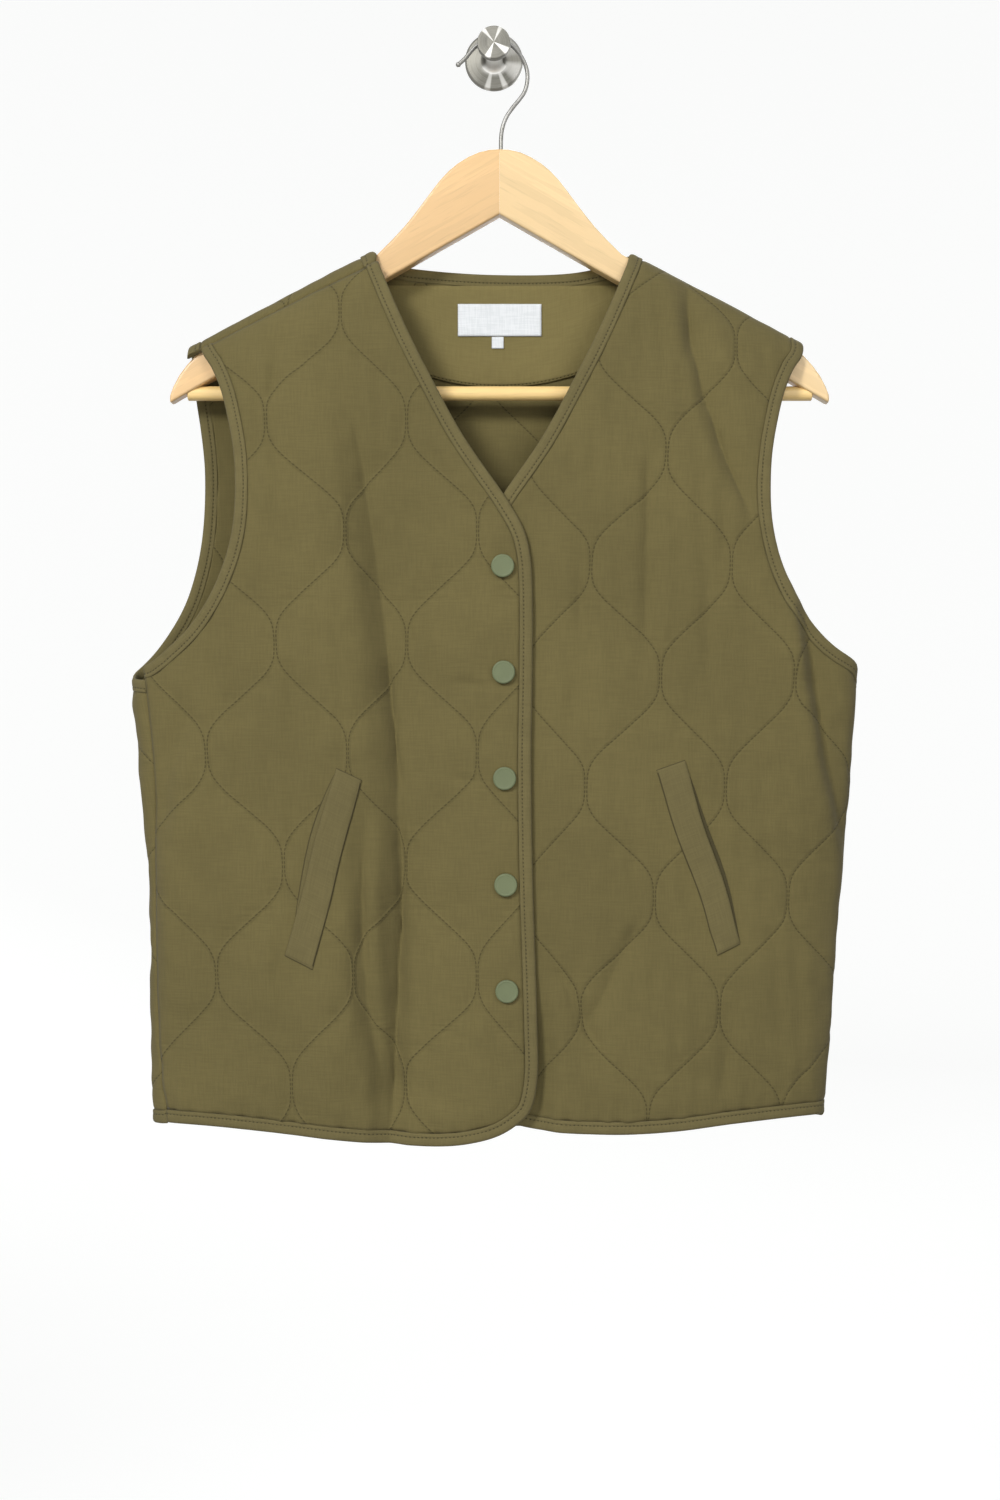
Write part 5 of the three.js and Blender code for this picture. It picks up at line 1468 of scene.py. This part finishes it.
class VEST_OT_panels(bpy.types.Operator):
    """Make the quilted back and the two quilted fronts"""

    bl_idname = "vest.panels"
    bl_label = "Quilted panels"

    def execute(self, context):
        cloth = quilted_cloth()
        for name, shape in (
            ("front_right", front_shape("right")),
            ("front_left", front_shape("left")),
            ("back", back_shape()),
        ):
            panel, grid = shape["panel"], shape["grid"]
            c, w = grid[..., 0], grid[..., 1]
            outer = place(panel, c, w, padding(panel[1], c, w, distance_inside(grid)))
            inner = place(panel, c, w, 0.25 * crumple(c, w, 34, 1))
            points, faces = slab(outer, inner, flip=name == "back")
            even, odd, along = stitch_fields(panel[1], c, w)
            fields = np.stack([even, odd, along], axis=-1).reshape(-1, 3) * MM
            piece = add_piece(
                f"vest_{name}",
                points,
                faces,
                cloth,
                np.tile(grid.reshape(-1, 2) * MM, (2, 1)),
                nodes=(name,),
                stitches=np.tile(fields, (2, 1)),
            )
        return {"FINISHED"}


def binding_profile():
    """The tape's section: place across the tape, height above the inner face, and pattern."""
    wall, wide = sizes().wall, sizes().binding
    under = BINDING_UNDERSIDE
    return table(
        "out t pattern",
        (-0.35, wall - 0.75, -0.6),
        (-0.25, wall + 0.05, -0.2),
        (0.15, wall + 0.36, 0.15),
        (0.9, wall + 0.43, 0.9),
        (1.7, wall + 0.4, 1.7),
        (2.4, wall + 0.3, 2.4),
        (3.1, wall + 0.42, 3.1),
        (4.6, wall + 0.54, 4.6),
        (6.3, wall + 0.5, 6.3),
        (7.4, wall + 0.12, 7.4),
        (wide + 0.1, wall - 0.55, 8.3),
        (wide + 0.3, wall / 2, 9.4),
        (wide + 0.1, 0.55, 10.6),
        (7.4, -0.1, under + 7.4),
        (6.0, -0.5, under + 6.0),
        (3.6, -0.6, under + 3.6),
        (2.2, -0.42, under + 2.2),
        (1.5, -0.2, under + 1.5),
        (0.8, -0.42, under + 0.8),
        (-0.1, -0.45, under),
        (-0.4, -0.1, under - 0.4),
        (0.1, 0.7, under - 1),
    )


def binding_piece(name, parts, material):
    """The bias tape along one or more edges that follow each other, each with its panel."""
    profile = binding_profile()
    rings, ring_uv, along = [], [], 0.0
    for panel, (line, out) in parts:
        fine = np.linspace(0, 1, cells(lengths(line)[-1]))
        line, out = resample(line, fine), resample(line, fine, out)
        out /= np.linalg.norm(out, axis=1, keepdims=True)
        c = line[:, :1] + out[:, :1] * profile["out"]
        w = line[:, 1:] + out[:, 1:] * profile["out"]
        sums = lengths(line)[:, None] + along
        level = np.zeros_like(sums)
        ripple = 0.11 * np.sin(sums / 2.9 + 2 * crumple(sums, level, 60, 5))
        ripple += 0.12 * crumple(sums, level, 17, 1)
        lift = profile["t"] + np.where(profile["t"] > sizes().wall / 2, 1, -0.4) * ripple
        rings.append(place(panel, c, w, lift))
        ring_uv.append(np.stack(np.broadcast_arrays(sums, profile["pattern"][None]), axis=-1))
        along = float(sums[-1, 0])
    points, faces = tube(np.vstack(rings))
    uv = np.vstack(ring_uv).reshape(-1, 2) * MM
    add_piece(name, points, outward_faces(points, faces), material, uv, nodes=(name,))


class VEST_OT_bindings(bpy.types.Operator):
    """Make the bias tape round the front edges, neck, armholes and hem"""

    bl_idname = "vest.bindings"
    bl_label = "Bindings"

    def execute(self, context):
        rows = (BINDING_STITCH, BINDING_UNDERSIDE + BINDING_STITCH)
        tape = tape_cloth("Binding cloth", tuple(colours().binding), rows)
        back = back_shape()
        for side in ("right", "left"):
            front = front_shape(side)
            back_line, back_out = back["arm"][side]
            down = (back_line[::-1], back_out[::-1])
            binding_piece(f"binding_front_{side}", [(front["panel"], front["edge"])], tape)
            arms = [(front["panel"], front["arm"]), (back["panel"], down)]
            binding_piece(f"binding_armhole_{side}", arms, tape)
        for key in ("neck", "hem"):
            binding_piece(f"binding_back_{key}", [(back["panel"], back[key])], tape)
        return {"FINISHED"}


class VEST_OT_welts(bpy.types.Operator):
    """Make the two slanted pocket welts and the mouths of their pockets"""

    bl_idname = "vest.welts"
    bl_label = "Pocket welts"

    def execute(self, context):
        colour = tuple(colours().binding)
        tape = tape_cloth("Welt cloth", colour, seam_shades_at=(0.2, WELT_PATTERN["end"]))
        # The pocket mouth's cloth is the welt's colour painted 8 % darker as shade beside the welt's open
        # edge
        mouth = tape_cloth("Pocket mouth cloth", shade(colour, 0.92), seam_shades_at=(0.2, 3.6))
        for layer in ("right", "left"):
            self.welt(layer, tape)
            self.mouth(layer, mouth)
        return {"FINISHED"}

    def grid(self, layer, down, over):
        """Flat places on a welt: over is 0 at the seam and 1 at the open edge."""
        welt = WELTS[layer]
        (seam_top, seam_bottom), (open_top, open_bottom) = welt["seam"], welt["open"]
        near = np.array(seam_top) + (np.array(seam_bottom) - seam_top) * down[..., None]
        far = np.array(open_top) + (np.array(open_bottom) - open_top) * down[..., None]
        seen = near + (far - near) * over[..., None]
        seen[..., 0] += welt["bow"] * np.sin(2 * math.pi * down) * np.sin(math.pi * np.clip(down, 0, 1))
        return np.array([[flat("front", float(front_c(layer, a)), float(z)) for a, z in row] for row in seen])

    def welt(self, layer, material):
        close = np.array([0, 0.5, 1, 1.5]) / WELT_PATTERN["long"]
        rows = np.r_[close, np.linspace(0.018, 0.982, 56), 1 - close[::-1]]
        down, over = np.meshgrid(rows, np.linspace(0, 1, 15), indexing="ij")
        grid = self.grid(layer, down, over)
        c, w = grid[..., 0], grid[..., 1]
        gape = np.sin(math.pi * down) ** LENS_POWER
        to_end = np.minimum(down, 1 - down) * WELT_PATTERN["long"]
        low_end = smooth(to_end / WELT_EDGE["end"])
        low_seam = smooth(over * WELT_PATTERN["wide"] / WELT_EDGE["seam"])
        wall, height = sizes().wall, WELT_HEIGHT
        base = wall - height["sunk"] + 0.5 * low_seam + height["gape_under"] * gape * over**2
        top = wall + height["raised"] + height["crown"] * low_end * low_seam
        top = top + (height["edge"] + height["gape"] * gape) * over**2
        fold_share = (over - WELT_EDGE["fold_from"]) / (1 - WELT_EDGE["fold_from"])
        fold = WELT_EDGE["fold"] * smooth(fold_share)
        panel = ("front", layer)
        outer = place(panel, c, w, top - fold + 0.1 * crumple(c, w, 14, 4))
        points, faces = slab(outer, place(panel, c, w, base + fold), layer == "left")
        along = WELT_PATTERN["long"] * down
        across = np.where(to_end < 1.6, WELT_PATTERN["end"] - to_end, WELT_PATTERN["wide"] * over)
        uv = np.tile(np.stack([along, across], axis=-1).reshape(-1, 2) * MM, (2, 1))
        faces = outward_faces(points, faces)
        nodes = (f"pocket_welt_{layer}",)
        add_piece(f"pocket_welt_piece_{layer}", points, faces, material, uv, nodes)

    def mouth(self, layer, material):
        """The narrow strip of the pocket's own edge that shows beside the welt's open edge."""
        shape = MOUTHS[layer]
        down, over = np.meshgrid(np.linspace(*shape["down"], 50), np.linspace(0, 1, 9), indexing="ij")
        first, last = shape["down"]
        lens = np.sin(math.pi * np.clip((down - first) / (last - first), 0, 1)) ** LENS_POWER
        grid = self.grid(layer, down, 0.93 + (0.07 + shape["wide"] * lens) * over)
        c, w = grid[..., 0], grid[..., 1]
        panel = ("front", layer)
        base = np.full_like(c, sizes().wall - MOUTH_HEIGHT["sunk"])
        top = sizes().wall + MOUTH_HEIGHT["raised"] + MOUTH_HEIGHT["lens"] * lens
        points, faces = slab(place(panel, c, w, top), place(panel, c, w, base), layer == "left")
        along = WELT_PATTERN["long"] * down
        uv = np.tile(np.stack([along, shape["pattern"] * over], axis=-1).reshape(-1, 2) * MM, (2, 1))
        faces = outward_faces(points, faces)
        add_piece(f"pocket_mouth_{layer}", points, faces, material, uv)


class VEST_OT_facing(bpy.types.Operator):
    """Make the plain facing inside the back neck and its blank labels"""

    bl_idname = "vest.facing"
    bl_label = "Neck facing and labels"

    def execute(self, context):
        u = np.linspace(0, 1, 90)
        v = np.linspace(0, 1, 24)
        x = SHOULDER_CENTRE + FACING["half"] * (2 * u - 1)
        low = FACING["bottom"] + FACING["rise"] * (x - SHOULDER_CENTRE) ** 2
        high = np.maximum(np.minimum(FACING["top"] + 8, ridge(x) - FACING["below"]), low + 6)
        seen = [[(x[i], low[i] + (high[i] - low[i]) * t) for i in range(len(u))] for t in v]
        # The lining is the cloth colour painted lighter, as light for the facing that lies in shade
        lit_lining_tone = shade(colours().cloth, FACING["shade"])
        lining = tape_cloth("Lining cloth", lit_lining_tone, stitch_at=(INSIDE["facing"]["stitch"],))
        self.sheet("facing_back_neck", seen, INSIDE["facing"], lining, "lining_cloth")
        ribbon = satin_ribbon()
        for name, box in LABELS.items():
            across = np.linspace(box["left"], box["right"], box["columns"])
            up = np.linspace(box["bottom"], box["top"], box["rows"])
            seen = [[(a, b) for a in across] for b in up]
            self.sheet(name, seen, INSIDE["label"], ribbon, "label_cloth")
        return {"FINISHED"}

    def sheet(self, name, seen, lies, material, slot):
        grid = np.array([[flat("back", float(a), float(b)) for a, b in row] for row in seen])
        c, w = grid[..., 0], grid[..., 1]
        panel = ("back", "back")
        ripple = 0.15 * crumple(c, w, 22, 6)
        near = place(panel, c, w, ripple - lies["in"])
        far = place(panel, c, w, ripple - lies["in"] - lies["thick"])
        points, faces = slab(near, far, True)
        uv = np.stack([c - c.min(), w - w.min(axis=0, keepdims=True)], axis=-1).reshape(-1, 2) * MM
        add_piece(name, points, outward_faces(points, faces), material, np.tile(uv, (2, 1)), (name,))


class VEST_OT_snaps(bpy.types.Operator):
    """Make the snap caps down the front"""

    bl_idname = "vest.snaps"
    bl_label = "Snap caps"

    def execute(self, context):
        cap = turned_piece("snap_master", SNAP_CAP, 64)
        give_material(cap, snap_plastic())
        for i in range(SNAPS["count"]):
            piece = cap.copy()
            piece.data = cap.data.copy()
            piece.name = f"snap_cap_{i + 1}"
            bpy.context.scene.collection.objects.link(piece)
            at = flat("front", FRONT_CENTRE + i * SNAPS["lean"], SNAPS["top"] - i * SNAPS["pitch"])
            height = sizes().wall + 0.7
            foot, tip = (
                Vector(place(("front", "right"), np.array(at[0]), np.array(at[1]), np.array(t)) * MM)
                for t in (height, height + 1)
            )
            turn = (tip - foot).to_track_quat("Z", "Y").to_matrix().to_4x4()
            apply_place(piece, Matrix.Translation(foot) @ turn)
            finish_piece(piece, (f"snap_{i + 1}",))
        bpy.data.objects.remove(cap)
        return {"FINISHED"}


class VEST_OT_hanger_arms(bpy.types.Operator):
    """Make the two wooden arms that meet in a mitred joint"""

    bl_idname = "vest.hanger_arms"
    bl_label = "Hanger arms"

    def execute(self, context):
        for layer in ("right", "left"):
            side = SIDE[layer]
            arm = self.arm(layer, side)
            turn = -side * math.radians(HANGER["grain_turn"])
            tone = tuple(a * b for a, b in zip(colours().wood, ARM_TONES[layer]))
            dark, pale = (shade(tone, factor) for factor in ARM_SHADES)
            shift = HANGER["grain_shift"] * MM * (2 + side)
            give_material(arm, grain_wood(f"Hanger wood {layer}", turn, shift, dark, pale))
            finish_piece(arm, (f"hanger_arm_{layer}",))
        return {"FINISHED"}

    def arm(self, layer, side):
        """A bar extruded from the joint to the tip, row by row, then bevelled along its edges."""
        outs = SHOULDER_CENTRE + side * (HANGER_ARM["out"] + HANGER["joint"] / 2)
        tops, bottoms = HANGER_ARM["top"], HANGER_ARM["bottom"]
        clear_selection()
        bpy.ops.mesh.primitive_plane_add(size=1, rotation=(0, side * math.pi / 2, 0))
        piece = bpy.context.object
        piece.name = f"hanger_arm_piece_{layer}"
        piece.location = Vector((outs[0], HANG_Y, (tops[0] + bottoms[0]) / 2)) * MM
        piece.scale = ((tops[0] - bottoms[0]) * MM, HANGER["thick"] * MM, 1)
        bpy.context.view_layer.update()
        apply_place(piece)
        start_edit()
        bpy.ops.mesh.select_all(action="SELECT")
        for i in range(1, len(outs)):
            middle = (tops[i] + bottoms[i]) / 2
            move = ((outs[i] - outs[i - 1]) * MM, 0, (middle - (tops[i - 1] + bottoms[i - 1]) / 2) * MM)
            bpy.ops.mesh.extrude_region_move(TRANSFORM_OT_translate={"value": move})
            scale = (tops[i] - bottoms[i]) / (tops[i - 1] - bottoms[i - 1])
            centre = (outs[i] * MM, HANG_Y * MM, middle * MM)
            bpy.ops.transform.resize(value=(1, 1, scale), center_override=centre)
        bpy.ops.mesh.select_all(action="SELECT")
        bpy.ops.mesh.normals_make_consistent(inside=False)
        bpy.ops.mesh.select_mode(type="EDGE")
        joint_x, end_x = outs[0] * MM, outs[-1] * MM

        def long_edge(mesh, edge):
            a, b = (mesh.vertices[k].co for k in edge.vertices)
            at_joint, at_end = (max(abs(a.x - x), abs(b.x - x)) < CLOSE for x in (joint_x, end_x))
            runs = abs(a.y - b.y) < CLOSE and abs(a.x - b.x) > CLOSE
            return (runs or at_end) and not at_joint

        select_where("edges", long_edge)
        bpy.ops.mesh.bevel(offset=HANGER["bevel"] * MM, segments=5, profile=0.6, clamp_overlap=True)
        bpy.ops.mesh.select_all(action="SELECT")
        bpy.ops.mesh.remove_doubles(threshold=1e-5)
        end_edit()
        self.cut_socket(piece)
        bpy.ops.object.shade_smooth_by_angle(angle=math.radians(28))
        return piece

    def cut_socket(self, piece):
        """Cuts the round socket that the bar sits in."""
        middle = (BAR["from"] + BAR["to"]) / 2 * MM
        clear_selection()
        bpy.ops.mesh.primitive_cylinder_add(
            vertices=48,
            radius=(BAR["radius"] + BAR["play"]) * MM,
            depth=(BAR["to"] - BAR["from"] + 2 * BAR["play"]) * MM,
            location=(middle, HANG_Y * MM, BAR["z"] * MM),
            rotation=(0, math.pi / 2, 0),
        )
        cutter = bpy.context.object
        clear_selection()
        make_active(piece)
        socket = piece.modifiers.new("Socket", "BOOLEAN")
        socket.operation = "DIFFERENCE"
        socket.object = cutter
        bpy.ops.object.modifier_apply(modifier=socket.name)
        bpy.data.objects.remove(cutter)


class VEST_OT_hanger_bar(bpy.types.Operator):
    """Make the round bar between the arms"""

    bl_idname = "vest.hanger_bar"
    bl_label = "Hanger bar"

    def execute(self, context):
        length = BAR["to"] - BAR["from"]
        radius, bevel, rings = BAR["radius"], BAR["bevel"], BAR["rings"]
        profile = table(
            "radius out",
            (radius - bevel, 0),
            (radius, bevel),
            *((radius, length * k / rings) for k in range(1, rings)),
            (radius, length - bevel),
            (radius - bevel, length),
        )
        bar = turned_piece("hanger_bar_piece", profile, 48)
        start = Vector((BAR["from"], HANG_Y, BAR["z"])) * MM
        apply_place(bar, Matrix.Translation(start) @ Matrix.Rotation(math.pi / 2, 4, "Y"))
        tone = tuple(colours().wood)
        # Paler wood tone, partly painted light for the shade the bar lies in
        pale = tuple(min(1, a * b) for a, b in zip(tone, BAR_TONE_AND_PAINTED_LIGHT))
        give_material(bar, grain_wood("Bar wood", 0.0, 0.21, shade(pale, 0.95), pale))
        finish_piece(bar, ("hanger_bar",))
        return {"FINISHED"}


class VEST_OT_hanger_hook(bpy.types.Operator):
    """Make the bent wire hook and its small ball end"""

    bl_idname = "vest.hanger_hook"
    bl_label = "Wire hook"

    def execute(self, context):
        clear_selection()
        line = spline(np.stack([WIRE_ROUTE["x"], WIRE_ROUTE["z"]], axis=1), spacing=1.0)
        curve = bpy.data.curves.new("hanger_hook_piece", "CURVE")
        curve.dimensions = "3D"
        curve.bevel_depth = WIRE_RADIUS * MM
        curve.bevel_resolution = 6
        curve.use_fill_caps = True
        run = curve.splines.new("POLY")
        run.points.add(len(line) - 1)
        for point, (x, z) in zip(run.points, line):
            point.co = (x * MM, HANG_Y * MM, z * MM, 1)
        hook = bpy.data.objects.new("hanger_hook_piece", curve)
        bpy.context.scene.collection.objects.link(hook)
        make_active(hook)
        bpy.ops.object.convert(target="MESH")
        hook = bpy.context.object
        end = Vector((line[-1, 0], HANG_Y, line[-1, 1])) * MM
        clear_selection()
        bpy.ops.mesh.primitive_uv_sphere_add(
            segments=32, ring_count=16, radius=WIRE_BALL_RADIUS * MM, location=end
        )
        make_active(hook)
        bpy.ops.object.join()
        hook = bpy.context.object
        apply_place(hook)
        bpy.ops.object.shade_smooth_by_angle(angle=math.radians(50))
        give_material(hook, bright_wire())
        finish_piece(hook, ("hanger_hook",))
        return {"FINISHED"}


class VEST_OT_wall_hook(bpy.types.Operator):
    """Make the turned steel wall hook: plate, neck and knob"""

    bl_idname = "vest.wall_hook"
    bl_label = "Wall hook"

    def execute(self, context):
        hook = turned_piece("wall_hook_piece", WALL_HOOK, 96)
        apply_place(hook, Matrix.Rotation(math.pi / 2, 4, "X"))
        brushing = hook.data.uv_layers.new(name="Brushing")
        for face in hook.data.polygons:
            centre = face.center
            middle = math.atan2(centre.z, centre.x)
            for k in face.loop_indices:
                x, y, z = hook.data.vertices[hook.data.loops[k].vertex_index].co
                turn = (math.atan2(z, x) - middle + math.pi) % (2 * math.pi) - math.pi
                brushing.data[k].uv = ((middle + turn) / (2 * math.pi), y * 10 + math.hypot(x, z) * 10)
        give_material(hook, brushed_steel())
        finish_piece(hook, ("wall_hook",))
        return {"FINISHED"}


class VEST_OT_stage(bpy.types.Operator):
    """Make the floor with its raised rim, the lights and the camera"""

    bl_idname = "vest.stage"
    bl_label = "Stage"

    def execute(self, context):
        self.floor()
        self.lights()
        self.camera()
        return {"FINISHED"}

    def floor(self):
        """A round floor whose rim sweeps up into a backdrop on all sides."""
        centre_y, floor_z, radius, sweep, top, steps = FLOOR.values()
        clear_selection()
        bpy.ops.mesh.primitive_circle_add(
            vertices=96, radius=radius - sweep, fill_type="NGON", location=(0, centre_y, floor_z)
        )
        floor = bpy.context.object
        floor.name = "stage_floor"
        start_edit()
        bpy.ops.mesh.select_mode(type="EDGE")
        select_where("edges", lambda mesh, edge: True)
        before = (radius - sweep, floor_z)
        turns = [math.pi / 2 * (i + 1) / steps for i in range(steps)]
        rows = [(radius - sweep + sweep * math.sin(a), floor_z + sweep * (1 - math.cos(a))) for a in turns]
        for out, up in [*rows, (radius, top)]:
            bpy.ops.mesh.extrude_region_move(TRANSFORM_OT_translate={"value": (0, 0, up - before[1])})
            scale = out / before[0]
            bpy.ops.transform.resize(value=(scale, scale, 1), center_override=(0, centre_y, up))
            before = (out, up)
        end_edit()
        bpy.ops.object.shade_smooth()
        floor.visible_diffuse = False
        floor.visible_shadow = False
        give_material(floor, stage_paint())

    def lights(self):
        world = bpy.data.worlds.new("Studio")
        bpy.context.scene.world = world
        world.use_nodes = True
        background = world.node_tree.nodes["Background"]
        background.inputs["Color"].default_value = (1.0, 1.0, 1.0, 1)
        background.inputs["Strength"].default_value = WORLD_LIGHT
        bpy.context.scene.view_settings.view_transform = "Standard"
        for name, row in LIGHTS.items():
            light = bpy.data.lights.new(name, "AREA")
            light.shape = "SQUARE"
            light.size = row["size"]
            light.energy = row["power"]
            lamp = bpy.data.objects.new(name, light)
            lamp.location = row["at"]
            aim = Vector(LIGHTS_AIM) - Vector(row["at"])
            lamp.rotation_euler = aim.to_track_quat("-Z", "Y").to_euler()
            bpy.context.scene.collection.objects.link(lamp)

    def camera(self):
        lens = bpy.data.cameras.new("Camera")
        lens.lens = CAMERA["lens"]
        lens.sensor_width = CAMERA["sensor"]
        camera = bpy.data.objects.new("Camera", lens)
        camera.location = Vector(CAMERA["at"]) * MM
        camera.rotation_euler = (math.pi / 2, 0, 0)
        bpy.context.scene.collection.objects.link(camera)
        bpy.context.scene.camera = camera


OPERATORS = (
    VEST_OT_stage,
    VEST_OT_panels,
    VEST_OT_bindings,
    VEST_OT_welts,
    VEST_OT_facing,
    VEST_OT_snaps,
    VEST_OT_hanger_arms,
    VEST_OT_hanger_bar,
    VEST_OT_hanger_hook,
    VEST_OT_wall_hook,
)


class VEST_PT_sidebar(bpy.types.Panel):
    """The vest's sizes, colours and pieces"""

    bl_idname = "VEST_PT_sidebar"
    bl_label = "Quilted vest"
    bl_space_type = "VIEW_3D"
    bl_region_type = "UI"
    bl_category = "Vest"

    def draw(self, context):
        for group in (context.scene.vest_sizes, context.scene.vest_colours):
            for name in group.__annotations__:
                self.layout.prop(group, name)
        for operator in OPERATORS:
            self.layout.operator(operator.bl_idname)


CLASSES = (VestSizes, VestColours, *OPERATORS, VEST_PT_sidebar)


def register():
    for cls in CLASSES:
        bpy.utils.register_class(cls)
    bpy.types.Scene.vest_sizes = bpy.props.PointerProperty(type=VestSizes)
    bpy.types.Scene.vest_colours = bpy.props.PointerProperty(type=VestColours)


def unregister():
    del bpy.types.Scene.vest_colours
    del bpy.types.Scene.vest_sizes
    for cls in reversed(CLASSES):
        bpy.utils.unregister_class(cls)


def main():
    register()
    for operator in OPERATORS:
        group, name = operator.bl_idname.split(".")
        getattr(getattr(bpy.ops, group), name)()


if __name__ == "__main__":
    main()
